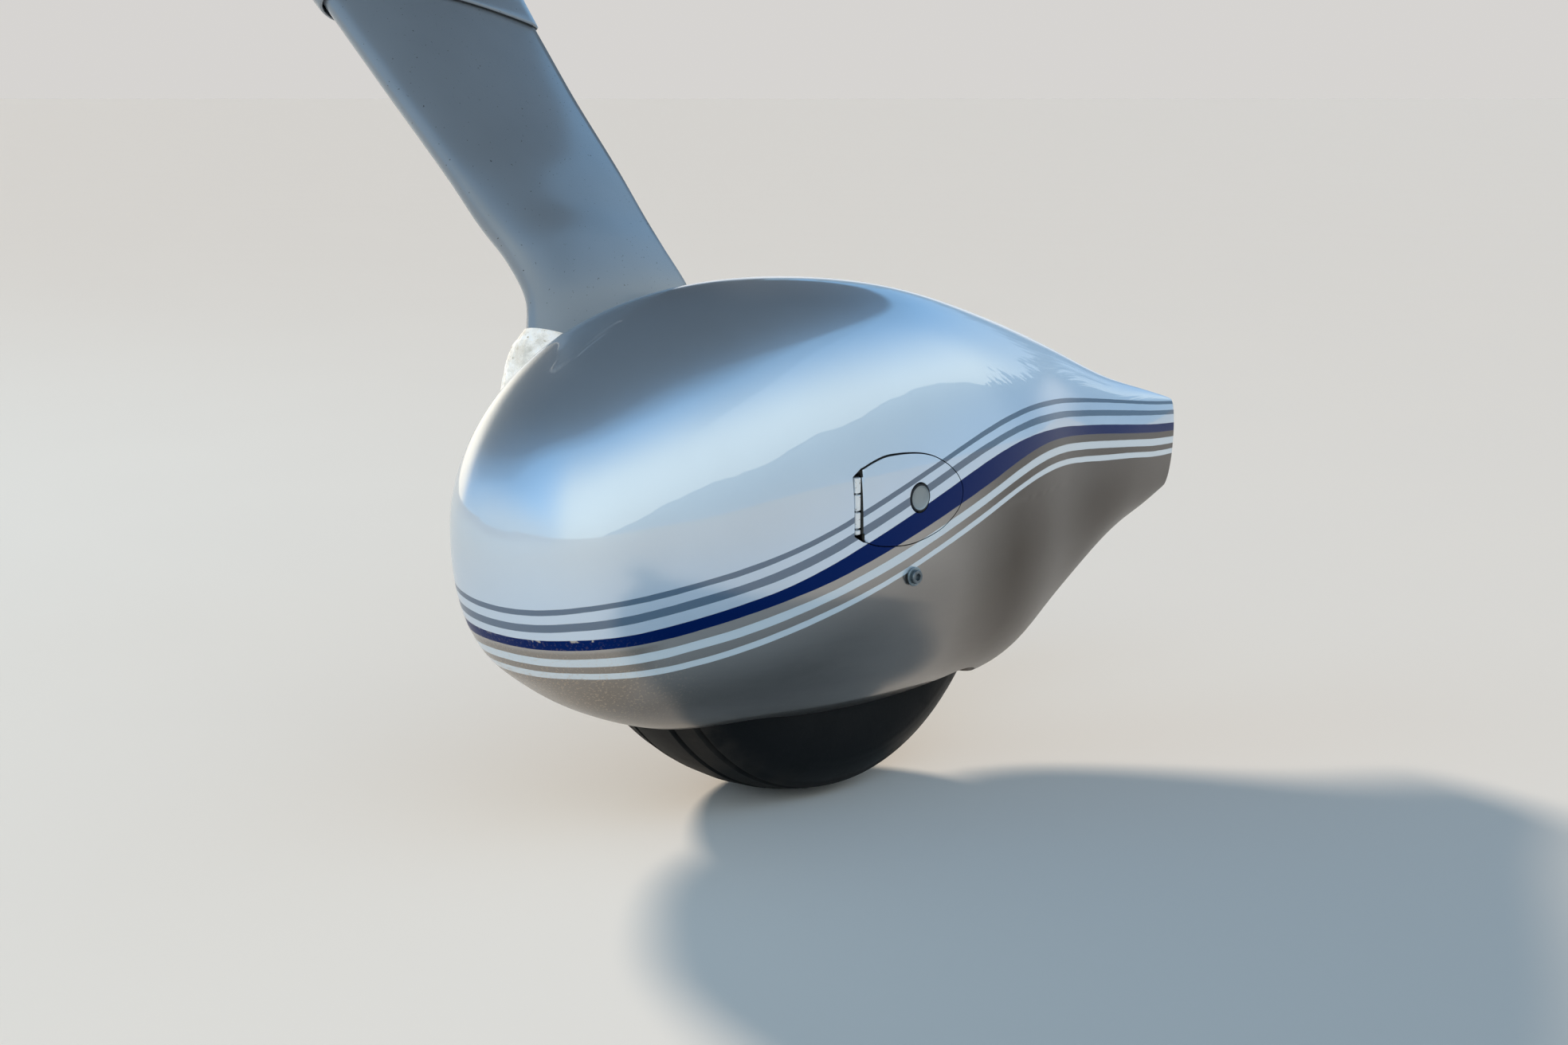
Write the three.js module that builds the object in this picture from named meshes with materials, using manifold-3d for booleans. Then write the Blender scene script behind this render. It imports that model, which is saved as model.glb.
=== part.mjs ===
// Left main landing gear leg with a faired wheel. Millimetres, +X outboard, -Y forward, +Z up.
// Everything is laid out about the wheel centre, then moved so the origin is on the mounting plate.
import * as THREE from 'three';
import { mergeVertices } from 'three/addons/utils/BufferGeometryUtils.js';
import Module from 'manifold-3d';

const wasm = await Module();
wasm.setup();

// driving dimensions
const TYRE_R = 186, TYRE_W = 146, BEAD_R = 76, CARCASS = 9;
const GROOVE_X = [-50, -25, 25, 50], GROOVE_DEPTH = 3, GROOVE_W = 3.2;
const RIM_HALF_W = 62, HUB_BORE_R = 16.6, AXLE_R = 16, AXLE_BORE_R = 10;
const TIE_BOLTS = 3, TIE_BOLT_PCR = 54, TIE_BOLT_R = 4;
const DISC_R = 78, DISC_X0 = -89, DISC_X1 = -82;
const WALL = 3, GAP = 0.4;
const STRUT_Y = -110, STRUT_W = 60, STRUT_T = 20;
const FAIRING_WALL = 2;
const MOUNT = { x: -440, y: -110, z: 560 };
const OPENING = { halfWidth: 85.5, front: -172, rear: 172, frontCorner: 75, rearCorner: 75 };
const TAIL = { rake: 7.5, top: 77.5, height: 75, from: 9 };
const HINGE = { x: 131.4, y: -58.5, r: 3.4, low: 38.5, high: 81.5 };
const LATCH = { y: 8, z: 58.5, r: 10.5 };
const DOOR_FRONT = { beside: 4.1, corner: 5.6 };
const CUFF_TILT = 9.5;
const FITTING_X0 = -100.2, FITTING_X1 = -94;
const FILM = {
  top: 179.5, fall: 11, low: 124, flare: 6.5, sideFlare: 6, clear: 0.7, thick: 1.2, reach: 0.19,
  steps: 14,
};
const FILM_PROFILE = [
  { down: 0, out: 0 }, { down: 0.2, out: 0.6 }, { down: 0.42, out: 0.88 }, { down: 1, out: 1 },
];

// wheel fairing stations from nose to tail
const SPAT = [
  { y: -290.2, half: 0.0, top: 28.3, low: 28.3, beam: 28.3, upper: 2.2, lower: 2.2 },
  { y: -279.2, half: 61.1, top: 91.9, low: -37.8, beam: 40, upper: 2.2, lower: 2.2 },
  { y: -246.3, half: 95.2, top: 150.4, low: -70.5, beam: 40, upper: 2.2, lower: 2.3 },
  { y: -182.3, half: 122.5, top: 192.8, low: -105.0, beam: 40, upper: 2.2, lower: 2.6 },
  { y: -98.4, half: 133.2, top: 213.2, low: -116.8, beam: 40, upper: 2.3, lower: 2.9 },
  { y: -6.4, half: 134.9, top: 216.9, low: -121.9, beam: 40, upper: 2.3, lower: 3.0 },
  { y: 94.5, half: 123.4, top: 205.7, low: -120.8, beam: 38, upper: 2.3, lower: 3.0 },
  { y: 195.4, half: 97.2, top: 178.4, low: -120.2, beam: 36, upper: 2.2, lower: 2.6 },
  { y: 287.4, half: 59.4, top: 146.9, low: -86.9, beam: 35, upper: 2.2, lower: 2.2 },
  { y: 379.3, half: 36.0, top: 110.1, low: -37.0, beam: 34, upper: 2.1, lower: 2.1 },
  { y: 444.3, half: 18.0, top: 91.6, low: -17.3, beam: 32, upper: 2.0, lower: 2.0 },
  { y: 482.5, half: 7.4, top: 80.6, low: -4.2, beam: 33, upper: 2.0, lower: 2.0 },
  { y: 489.6, half: 5.2, top: 76.8, low: -0.2, beam: 34, upper: 2.0, lower: 2.0 },
  { y: 491.2, half: 3.6, top: 71.2, low: 5.8, beam: 34, upper: 2.0, lower: 2.0 },
];

// centre line of the leg: sideways position against height
const LEG_LINE = [
  { z: -60, x: -110.5 }, { z: 100, x: -110.5 }, { z: 150, x: -111.5 }, { z: 181, x: -114 },
  { z: 205, x: -120 }, { z: 234, x: -137 }, { z: 258, x: -157 }, { z: 296, x: -189 },
  { z: 360, x: -254.5 }, { z: 425, x: -321 }, { z: 490, x: -387.5 }, { z: 560, x: -459 },
];

// leg fairing sections: leading edge, trailing edge and thickness against height
const LEG_SECTIONS = [
  { z: 112, lead: -178, trail: 40, thick: 66 },
  { z: 150, lead: -170, trail: 24, thick: 56 },
  { z: 181, lead: -163.5, trail: 9, thick: 47 },
  { z: 205, lead: -161, trail: -1, thick: 42 },
  { z: 234, lead: -166.5, trail: -10.5, thick: 40 },
  { z: 262, lead: -175.5, trail: -13, thick: 40 },
  { z: 296, lead: -182, trail: -14.5, thick: 40 },
  { z: 345, lead: -188.5, trail: -12.5, thick: 41 },
  { z: 396, lead: -195, trail: -7, thick: 42 },
  { z: 462, lead: -203, trail: 0, thick: 43 },
];

// outline of the access door in side view
const DOOR_OUTLINE = [
  { y: -54.6, z: 87.0 }, { y: -40, z: 91.6 }, { y: -24, z: 94.3 }, { y: 2, z: 93.2 },
  { y: 22, z: 89.5 }, { y: 38, z: 83 }, { y: 50, z: 75.5 }, { y: 58, z: 67.5 }, { y: 62, z: 57.5 },
  { y: 58.5, z: 46.5 }, { y: 48, z: 38 }, { y: 32, z: 30.6 }, { y: 7, z: 25.4 }, { y: -13, z: 24.6 },
  { y: -38, z: 27.6 }, { y: -54.6, z: 33.2 },
];

const FINISH = {
  paint: { color: 0xb4bac0, roughness: 0.3, metalness: 0.4 },
  paintDark: { color: 0x7d8a98, roughness: 0.32, metalness: 0.4 },
  composite: { color: 0x2e2f30, roughness: 0.6, metalness: 0 },
  steel: { color: 0x9a9c9e, roughness: 0.35, metalness: 0.9 },
  zinc: { color: 0xb3a987, roughness: 0.4, metalness: 0.8 },
  alloy: { color: 0xc4c6c8, roughness: 0.35, metalness: 0.9 },
  rubber: { color: 0x17181a, roughness: 0.8, metalness: 0 },
  iron: { color: 0x74706a, roughness: 0.5, metalness: 0.8 },
  friction: { color: 0x3c3733, roughness: 0.9, metalness: 0.1 },
  film: { color: 0xd8d6cc, roughness: 0.4, metalness: 0 },
};

// the gear stands about the wheel centre; the wheel turns about X and the door about its hinge line
const group = new THREE.Group();
const gear = new THREE.Group(), wheel = new THREE.Group(), door = new THREE.Group();
gear.position.set(-MOUNT.x, -MOUNT.y, -MOUNT.z);
door.position.set(HINGE.x, HINGE.y, 0);
group.add(gear);
gear.add(wheel, door);

// adding and joining solids
function toSolid(geometry) {
  const g = geometry.clone();
  g.deleteAttribute('normal');
  g.deleteAttribute('uv');
  const m = mergeVertices(g, 1e-3);
  return new wasm.Manifold(new wasm.Mesh({
    numProp: 3,
    vertProperties: new Float32Array(m.attributes.position.array),
    triVerts: new Uint32Array(m.index.array),
  }));
}

function toGeometry(solid) {
  const mesh = solid.getMesh();
  const g = new THREE.BufferGeometry();
  g.setAttribute('position', new THREE.BufferAttribute(new Float32Array(mesh.vertProperties), 3));
  g.setIndex(new THREE.BufferAttribute(new Uint32Array(mesh.triVerts), 1));
  return g;
}

function join(...geometries) {
  return toGeometry(geometries.map(toSolid).reduce((a, b) => a.add(b)));
}

function cut(geometry, ...tools) {
  return toGeometry(tools.map(toSolid).reduce((a, b) => a.subtract(b), toSolid(geometry)));
}

function common(a, b) {
  return toGeometry(toSolid(a).intersect(toSolid(b)));
}

// a piece placed in its group, at a place given from the wheel centre
function add(parent, name, geometry, finish, y = 0, z = 0) {
  geometry.computeVertexNormals();
  const mesh = new THREE.Mesh(geometry, new THREE.MeshStandardMaterial(FINISH[finish]));
  mesh.name = name;
  mesh.position.set(0, y, z).sub(parent === door ? door.position : new THREE.Vector3());
  parent.add(mesh);
}

// basic shapes
function rodX(r, x0, x1, y = 0, z = 0, sides = 20) {
  const g = new THREE.CylinderGeometry(r, r, x1 - x0, sides);
  g.rotateZ(-Math.PI / 2);
  g.translate((x0 + x1) / 2, y, z);
  return g;
}

function rodY(r, y0, y1, x, z, sides = 18) {
  const g = new THREE.CylinderGeometry(r, r, y1 - y0, sides);
  g.translate(x, (y0 + y1) / 2, z);
  return g;
}

function rodZ(r, z0, z1, x, y, sides = 20) {
  const g = new THREE.CylinderGeometry(r, r, z1 - z0, sides);
  g.rotateX(Math.PI / 2);
  g.translate(x, y, (z0 + z1) / 2);
  return g;
}

function block(x0, x1, y0, y1, z0, z1) {
  const g = new THREE.BoxGeometry(x1 - x0, y1 - y0, z1 - z0);
  g.translate((x0 + x1) / 2, (y0 + y1) / 2, (z0 + z1) / 2);
  return g;
}

// solid of revolution about the axle line from [x, r] corners
function turned(profile, sides = 34) {
  const points = profile.map(([x, r]) => new THREE.Vector2(r, x));
  points.push(points[0].clone());
  const g = new THREE.LatheGeometry(points, sides);
  g.rotateZ(-Math.PI / 2);
  return outward(g);
}

// plate cut from a side view outline given in y and z
function sidePlate(outline, x0, x1) {
  const shape = new THREE.Shape(outline.map((p) => new THREE.Vector2(p.y, p.z)));
  const g = new THREE.ExtrudeGeometry(shape, { depth: x1 - x0, bevelEnabled: false });
  g.applyMatrix4(new THREE.Matrix4().makeBasis(
    new THREE.Vector3(0, 1, 0), new THREE.Vector3(0, 0, 1), new THREE.Vector3(1, 0, 0)));
  g.translate(x0, 0, 0);
  return g;
}

// block with a rounded outline in plan
function roundedPlan({ halfWidth: w, front, rear, frontCorner: f, rearCorner: r }, z0, z1) {
  const s = new THREE.Shape();
  s.moveTo(-w + f, front);
  s.lineTo(w - f, front);
  s.absarc(w - f, front + f, f, -Math.PI / 2, 0);
  s.lineTo(w, rear - r);
  s.absarc(w - r, rear - r, r, 0, Math.PI / 2);
  s.lineTo(-w + r, rear);
  s.absarc(-w + r, rear - r, r, Math.PI / 2, Math.PI);
  s.lineTo(-w, front + f);
  s.absarc(-w + f, front + f, f, Math.PI, 1.5 * Math.PI);
  const g = new THREE.ExtrudeGeometry(s, { depth: z1 - z0, bevelEnabled: false, curveSegments: 8 });
  g.translate(0, 0, z0);
  return g;
}

function signedVolume(g) {
  const p = g.attributes.position, idx = g.index;
  const a = new THREE.Vector3(), b = new THREE.Vector3(), c = new THREE.Vector3();
  let v = 0;
  for (let i = 0; i < idx.count; i += 3) {
    a.fromBufferAttribute(p, idx.getX(i));
    b.fromBufferAttribute(p, idx.getX(i + 1));
    c.fromBufferAttribute(p, idx.getX(i + 2));
    v += a.dot(b.cross(c)) / 6;
  }
  return v;
}

function outward(geometry) {
  const g = geometry.clone();
  g.deleteAttribute('normal');
  g.deleteAttribute('uv');
  const m = mergeVertices(g, 1e-3);
  if (signedVolume(m) < 0) {
    const a = m.index.array;
    for (let i = 0; i < a.length; i += 3) [a[i], a[i + 1]] = [a[i + 1], a[i]];
  }
  return m;
}

// closed skin over a row of rings, each a loop of the same number of points
function skin(rings) {
  const n = rings[0].length, pos = [], idx = [];
  rings.forEach((ring) => ring.forEach((p) => pos.push(p.x, p.y, p.z)));
  for (let i = 0; i < rings.length - 1; i++) {
    for (let j = 0; j < n; j++) {
      const a = i * n + j, b = i * n + (j + 1) % n;
      idx.push(a, a + n, b + n, a, b + n, b);
    }
  }
  [0, rings.length - 1].forEach((i) => {
    const c = rings[i].reduce((s, p) => s.add(p), new THREE.Vector3()).divideScalar(n);
    const k = pos.length / 3;
    pos.push(c.x, c.y, c.z);
    for (let j = 0; j < n; j++) {
      const a = i * n + j, b = i * n + (j + 1) % n;
      if (i === 0) idx.push(k, a, b);
      else idx.push(k, b, a);
    }
  });
  const g = new THREE.BufferGeometry();
  g.setAttribute('position', new THREE.Float32BufferAttribute(pos, 3));
  g.setIndex(idx);
  return dropFlat(outward(g));
}

function dropFlat(g) {
  const out = [], a = g.index.array;
  for (let i = 0; i < a.length; i += 3) {
    if (a[i] !== a[i + 1] && a[i + 1] !== a[i + 2] && a[i] !== a[i + 2]) out.push(a[i], a[i + 1], a[i + 2]);
  }
  g.setIndex(out);
  return g;
}

// wheel fairing surface
function spatRow(i) {
  const n = SPAT.length;
  if (i < 0) {
    const r = SPAT[1];
    return { ...r, half: -r.half, top: r.low, low: r.top };
  }
  if (i < n) return SPAT[i];
  const a = SPAT[n - 1], b = SPAT[n - 2], r = {};
  for (const k of Object.keys(a)) r[k] = 2 * a[k] - b[k];
  return r;
}

function spatAt(u) {
  const i = Math.min(Math.max(Math.floor(u), 0), SPAT.length - 2), t = u - i, out = {};
  const [p0, p1, p2, p3] = [i - 1, i, i + 1, i + 2].map(spatRow);
  for (const k of Object.keys(p1)) {
    out[k] = 0.5 * (2 * p1[k] + (p2[k] - p0[k]) * t
      + (2 * p0[k] - 5 * p1[k] + 4 * p2[k] - p3[k]) * t * t
      + (3 * p1[k] - p0[k] - 3 * p2[k] + p3[k]) * t * t * t);
  }
  return out;
}

function spatPoint(u, v) {
  const s = spatAt(u), c = Math.cos(v), n = Math.sin(v);
  const power = 2 / (n >= 0 ? s.upper : s.lower);
  const rise = n >= 0 ? s.top - s.beam : s.beam - s.low;
  const z = s.beam + rise * Math.sign(n) * Math.abs(n) ** power;
  const share = THREE.MathUtils.clamp((u - TAIL.from) / 2, 0, 1) ** 2;
  const drop = THREE.MathUtils.clamp((TAIL.top - z) / TAIL.height, 0, 1.3) ** 1.5;
  return new THREE.Vector3(
    s.half * Math.sign(c) * Math.abs(c) ** power, s.y - TAIL.rake * share * drop, z);
}

function spatNormal(u, v) {
  const e = 1e-3;
  const du = spatPoint(Math.min(u + e, SPAT.length - 1), v).sub(spatPoint(u - e, v));
  const dv = spatPoint(u, v + e).sub(spatPoint(u, v - e));
  return du.cross(dv).normalize();
}

function spatBody(offset, around, steps, uEnd) {
  const rings = [];
  for (let i = 0; i <= steps; i++) {
    const u = uEnd * (i / steps) ** 1.15;
    const ring = [];
    for (let j = 0; j < around; j++) {
      const v = 2 * Math.PI * (j + 0.5) / around;
      if (i === 0) ring.push(spatPoint(0, 0).add(new THREE.Vector3(0, -offset, 0)));
      else ring.push(spatPoint(u, v).addScaledVector(spatNormal(u, v), offset));
    }
    rings.push(ring);
  }
  return skin(rings);
}

// leg line and sections
function between(table, z, key) {
  let i = 0;
  while (i < table.length - 2 && z > table[i + 1].z) i++;
  const p = (k) => table[Math.min(Math.max(k, 0), table.length - 1)];
  const [a, b, c, d] = [p(i - 1), p(i), p(i + 1), p(i + 2)];
  const h = c.z - b.z, t = (z - b.z) / h;
  const m1 = i > 0 ? (c[key] - a[key]) / (c.z - a.z) : (c[key] - b[key]) / h;
  const m2 = i < table.length - 2 ? (d[key] - b[key]) / (d.z - b.z) : (c[key] - b[key]) / h;
  const t2 = t * t, t3 = t2 * t;
  return (2 * t3 - 3 * t2 + 1) * b[key] + (t3 - 2 * t2 + t) * h * m1
    + (3 * t2 - 2 * t3) * c[key] + (t3 - t2) * h * m2;
}

function legFrame(z) {
  const x = between(LEG_LINE, z, 'x');
  const slope = (between(LEG_LINE, z + 1, 'x') - between(LEG_LINE, z - 1, 'x')) / 2;
  const along = new THREE.Vector3(slope, 0, 1).normalize();
  return { at: new THREE.Vector3(x, 0, z), side: new THREE.Vector3(along.z, 0, -along.x) };
}

// half thickness of a symmetric aerofoil as a share of its full thickness
function aerofoil(s) {
  return 5 * (0.2969 * Math.sqrt(s) - 0.126 * s - 0.3516 * s ** 2 + 0.2843 * s ** 3 - 0.1028 * s ** 4);
}

// loop round the leg, grown off its surface; tilt lifts the loop's front and lowers its rear
function foilRing(height, grow, around, level = 0, tilt = 0) {
  const ring = [], half = around / 2, inner = grow < 0;
  for (let j = 0; j < around; j++) {
    const a = Math.PI * j / half;
    const z = height + tilt * Math.cos(a);
    const { at, side } = legFrame(z);
    const out = side.clone().lerp(new THREE.Vector3(1, 0, 0), level).normalize();
    const lead = between(LEG_SECTIONS, z, 'lead'), chord = between(LEG_SECTIONS, z, 'trail') - lead;
    const thick = between(LEG_SECTIONS, z, 'thick') * (1 + 0.42 * level);
    const s0 = inner ? -grow / chord : 0, s1 = inner ? 0.86 : 1;
    const k = (1 - Math.cos(a)) / 2;
    const s = s0 + (s1 - s0) * k;
    const face = a <= Math.PI ? 1 : -1;
    const t = Math.max(aerofoil(Math.min(s, 1)) * thick, 0.9) + grow;
    const edge = (j === 0 || j === half) ? 0 : 1;
    const y = lead + chord * s + (inner ? 0 : grow * (2 * k - 1));
    ring.push(at.clone().addScaledVector(out, face * Math.max(t, 0.5) * edge)
      .add(new THREE.Vector3(0, y, 0)));
  }
  return ring;
}

function foilBody(zs, grow, around = 28) {
  return skin(zs.map((z) => foilRing(z, grow, around)));
}

// rounded rectangle ring across the leg line
function barRing(z, width, thick, centre, corner = 5) {
  const { at, side } = legFrame(z);
  const ring = [];
  for (const [sy, st, a0] of [[1, 1, 0], [-1, 1, 90], [-1, -1, 180], [1, -1, 270]]) {
    for (let k = 0; k <= 2; k++) {
      const a = (a0 + 45 * k) * Math.PI / 180;
      const y = sy * (width / 2 - corner) + corner * Math.cos(a);
      const t = st * (thick / 2 - corner) + corner * Math.sin(a);
      ring.push(at.clone().addScaledVector(side, t).add(new THREE.Vector3(0, centre + y, 0)));
    }
  }
  return ring;
}

function barBody(zs, width, thick, centre, corner) {
  return skin(zs.map((z) => barRing(z, width, thick, centre, corner)));
}

const LEG_HEIGHTS = [
  -24, 60, 110, 140, 165, 181, 193, 205, 219, 234, 246, 258, 277, 296, 330, 380, 430, 500,
];

function legStrut() {
  const bar = barBody([...LEG_HEIGHTS, 533], STRUT_W, STRUT_T, STRUT_Y, 5);
  const holes = STRUT_BOLTS.map((b) => rodX(4.3, -140, -90, b.y, b.z, 16));
  const pins = ROOT_BOLTS.map((b) => rodY(6.3, -160, -60, b.x, b.z));
  return cut(bar, ...holes, ...pins);
}

const STRUT_BOLTS = [{ y: -118, z: -8 }, { y: -94, z: -8 }, { y: -118, z: 34 }, { y: -94, z: 34 }];
const ROOT_BOLTS = [{ x: -403, z: 505 }, { x: -428, z: 530 }];

// plate with two cheeks that hold the upper end of the leg
function rootFitting() {
  const plate = block(-505, -375, -175, -45, 548, 560);
  const profile = [[-470, 549], [-385, 549], [-382, 500], [-392, 484], [-405, 486], [-462, 545]];
  const cheek = (y0) => {
    const s = new THREE.Shape(profile.map(([x, z]) => new THREE.Vector2(x, z)));
    const g = new THREE.ExtrudeGeometry(s, { depth: 9, bevelEnabled: false });
    g.rotateX(Math.PI / 2);
    g.translate(0, y0 + 9, 0);
    return g;
  };
  const body = join(plate, cheek(-149.4), cheek(-79.6));
  const pins = ROOT_BOLTS.map((b) => rodY(6.3, -170, -50, b.x, b.z));
  const screws = [[-490, -160], [-490, -60], [-390, -160], [-390, -60]];
  return cut(body, ...pins, ...screws.map(([x, y]) => rodZ(4.3, 540, 570, x, y, 12)));
}

function rootBolt({ x, z }) {
  const head = rodY(10, -158, -149.8, x, z, 6);
  const shank = rodY(6, -150, -62, x, z);
  const nut = rodY(10, -70.2, -61, x, z, 6);
  return join(head, shank, nut);
}

function legFairing(spatOuter) {
  const heights = [150, 172, 188, 205, 219, 234, 250, 272, 296, 345, 396];
  const outer = foilBody([112, ...heights, 452], 0);
  const inner = foilBody([100, ...heights, 462], -FAIRING_WALL, 22);
  return cut(outer, inner, spatOuter);
}

// flared collar where the leg meets the wing skin
function rootCuff() {
  const rows = [
    { z: 418, grow: 5, level: 0 }, { z: 440, grow: 5.5, level: 0.1 }, { z: 462, grow: 8, level: 0.35 },
    { z: 480, grow: 14, level: 0.7 }, { z: 492, grow: 24, level: 1 }, { z: 496, grow: 34, level: 1 },
  ];
  const ring = ({ z, grow, level }) => foilRing(z, grow, 28, level, CUFF_TILT * (1 - level));
  const outer = skin(rows.map(ring));
  const inner = skin([
    { z: 408, grow: 3.5, level: 0 }, { z: 426, grow: 0.5, level: 0 }, { z: 446, grow: 0.5, level: 0 },
    { z: 464, grow: 5, level: 0.35 }, { z: 480, grow: 11, level: 0.7 }, { z: 492, grow: 21, level: 1 },
    { z: 504, grow: 27, level: 1 },
  ].map(ring));
  return cut(outer, inner);
}

// thin clear skirt round the leading edge, flared forward down to the wheel fairing
function gapFilm(spatOuter) {
  const rings = [];
  for (let i = 0; i <= FILM.steps; i++) {
    const q = 2 * i / FILM.steps - 1;
    const top = FILM.top - FILM.fall * q * q, flare = FILM.flare * (1 - q * q) + FILM.sideFlare;
    const inner = [], outer = [];
    for (const { down, out } of FILM_PROFILE) {
      const z = top - (top - FILM.low) * down, push = FILM.clear + flare * out;
      inner.push(filmPoint(q, z, push));
      outer.push(filmPoint(q, z, push + FILM.thick));
    }
    rings.push([...inner, ...outer.reverse()]);
  }
  return cut(skin(rings), spatOuter, foilBody([110, 150, 181, 205, 234], GAP));
}

// point off the leg's surface; q runs round the nose from the inboard side to the outboard side
function filmPoint(q, z, push) {
  const { at, side } = legFrame(z);
  const lead = between(LEG_SECTIONS, z, 'lead'), chord = between(LEG_SECTIONS, z, 'trail') - lead;
  const s = FILM.reach * q * q, half = aerofoil(s) * between(LEG_SECTIONS, z, 'thick');
  const turn = Math.sin(q * Math.PI / 2);
  return at.clone().addScaledVector(side, Math.sign(q) * half + push * turn)
    .add(new THREE.Vector3(0, lead + chord * s - push * Math.cos(q * Math.PI / 2), 0));
}

// fitting that carries the axle behind the leg
function axleFitting() {
  const outline = [
    { y: -139, z: -36 }, { y: -128, z: -46 }, { y: 20, z: -46 }, { y: 47, z: -30 }, { y: 47, z: 30 },
    { y: 20, z: 46 }, { y: -60, z: 46 }, { y: -78, z: 52 }, { y: -128, z: 52 }, { y: -139, z: 42 },
  ];
  const plate = sidePlate(outline, FITTING_X0, FITTING_X1);
  const holes = STRUT_BOLTS.map((b) => rodX(4.3, -110, -90, b.y, b.z, 16));
  const caliper = CALIPER_BOLTS.map((b) => rodX(3.8, -110, -90, b.y, b.z, 16));
  return cut(plate, rodX(15.4, -110, -90), ...holes, ...caliper);
}

const CALIPER_BOLTS = [{ y: 38.5, z: -14 }, { y: 38.5, z: 14 }];

function strutBolt() {
  const head = rodX(6.5, -124, -120.8, 0, 0, 6);
  const shank = rodX(4, -122, -88.5, 0, 0, 16);
  const nut = rodX(6.8, -93.7, -89, 0, 0, 6);
  return join(head, shank, nut);
}

function axle() {
  const body = turned([
    [-100, AXLE_BORE_R], [-100, 15], [-93.7, 15], [-93.7, 30], [-88, 30], [-88, 22], [-64, 22],
    [-63, AXLE_R], [68, AXLE_R], [70, 14.5], [70, AXLE_BORE_R],
  ], 24);
  return body;
}

function axleNut() {
  return cut(rodX(23, 63.3, 69.7, 0, 0, 6), rodX(AXLE_R + GAP, 60, 75));
}

// outboard support between the axle end and the fairing wall
function standoff() {
  return turned([
    [44, 4.4], [44, 9.6], [70.4, 9.6], [70.4, 14], [74, 14], [76, 10], [121, 10], [125, 16], [128, 16],
    [128, 4.4],
  ], 24);
}

function axleEndBolt() {
  const head = rodX(5.4, 136.7, 141.2);
  const socket = rodX(3, 138.4, 142, 0, 0, 6);
  return cut(join(head, rodX(4, 96, 137)), socket);
}

function axleEndWasher() {
  return cut(rodX(7.6, 134.8, 136.4), rodX(4.4, 130, 140));
}

const RIM_HALF = [
  [0.15, HUB_BORE_R], [58, HUB_BORE_R], [58, 27], [56, 29], [19, 30], [14, 34], [14, 61], [18, 65.5],
  [30, 68], [54, 69], [59, 73], [RIM_HALF_W, 79], [RIM_HALF_W, 86], [60.5, 88], [57.5, 86.5], [56, 80],
  [52, BEAD_R - 0.3], [8, 74.5], [0.15, 74.5],
];

function rimHalf(side) {
  const body = turned(side > 0 ? RIM_HALF : RIM_HALF.map(([x, r]) => [-x, r]), 32);
  const tools = around(TIE_BOLTS, TIE_BOLT_PCR, 30).map((p) => (
    rodX(TIE_BOLT_R + 0.3, -30, 30, p.y, p.z, 12)));
  around(TIE_BOLTS, 47, 90).forEach((p) => tools.push(rodX(9, -30, 30, p.y, p.z, 14)));
  if (side > 0) tools.push(valveRod(4.4, 40, 95));
  return cut(body, ...tools);
}

function around(count, r, start) {
  return Array.from({ length: count }, (_, i) => {
    const a = (start + 360 * i / count) * Math.PI / 180;
    return { y: r * Math.cos(a), z: r * Math.sin(a) };
  });
}

function tieBolt() {
  const head = rodX(6.6, 14.3, 20, 0, 0, 6);
  const shank = rodX(TIE_BOLT_R, -22, 15, 0, 0, 16);
  const nut = rodX(6.6, -26, -18.9, 0, 0, 6);
  return join(head, shank, nut);
}

// rod along the valve line, measured from the axle outward
function valveRod(r, r0, r1) {
  const g = new THREE.CylinderGeometry(r, r, r1 - r0, 20);
  g.translate(0, (r0 + r1) / 2 - 70, 0);
  g.rotateZ(0.42);
  g.translate(40, 70, 0);
  g.rotateX(82 * Math.PI / 180);
  return g;
}

function brakeDisc() {
  const body = turned([
    [-14.3, 40], [-14.3, 60.5], [-18.6, 60.5], [-18.6, 46], [DISC_X1, 46], [DISC_X1, DISC_R],
    [DISC_X0, DISC_R], [DISC_X0, 40],
  ]);
  return cut(body, ...around(TIE_BOLTS, TIE_BOLT_PCR, 30).map((p) => (
    rodX(TIE_BOLT_R + 0.3, -30, -10, p.y, p.z, 16))));
}

function caliper() {
  const body = join(
    block(-117, -95.6, 50, 94, -24, 24), block(-117, -70.6, 84, 94, -24, 24),
    block(-76.2, -70.6, 54, 90, -22, 22), block(-117, -100.5, 30, 60, -22, 22),
    rodX(15, -121, -110, 66, 0));
  return cut(body, ...CALIPER_BOLTS.map((b) => rodX(3.8, -130, -90, b.y, b.z)));
}

function caliperBolt() {
  return join(rodX(6, -121.6, -117.3, 0, 0, 6), rodX(3.5, -118, -90, 0, 0, 16),
    rodX(5.6, -93.7, -90, 0, 0, 6));
}

function brakePad(x0, x1) {
  return block(x0, x1, 52, 77, -19, 19);
}

function brakeLine() {
  const points = [
    [-110, 70, 24.4], [-110, 68, 44], [-112, 40, 78], [-112, -20, 104], [-113, -58, 128], [-113.2, -71, 158],
    [-116, -72, 193], [-137, -72, 234], [-189, -72, 296], [-254.5, -72, 360], [-321, -72, 425],
    [-372, -72, 475],
  ].map((p) => new THREE.Vector3(...p));
  const curve = new THREE.CatmullRomCurve3(points, false, 'centripetal');
  const s = new THREE.Shape();
  s.absarc(0, 0, 2.4, 0, 2 * Math.PI);
  return outward(new THREE.ExtrudeGeometry(s, { steps: 40, extrudePath: curve, curveSegments: 3 }));
}

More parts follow.
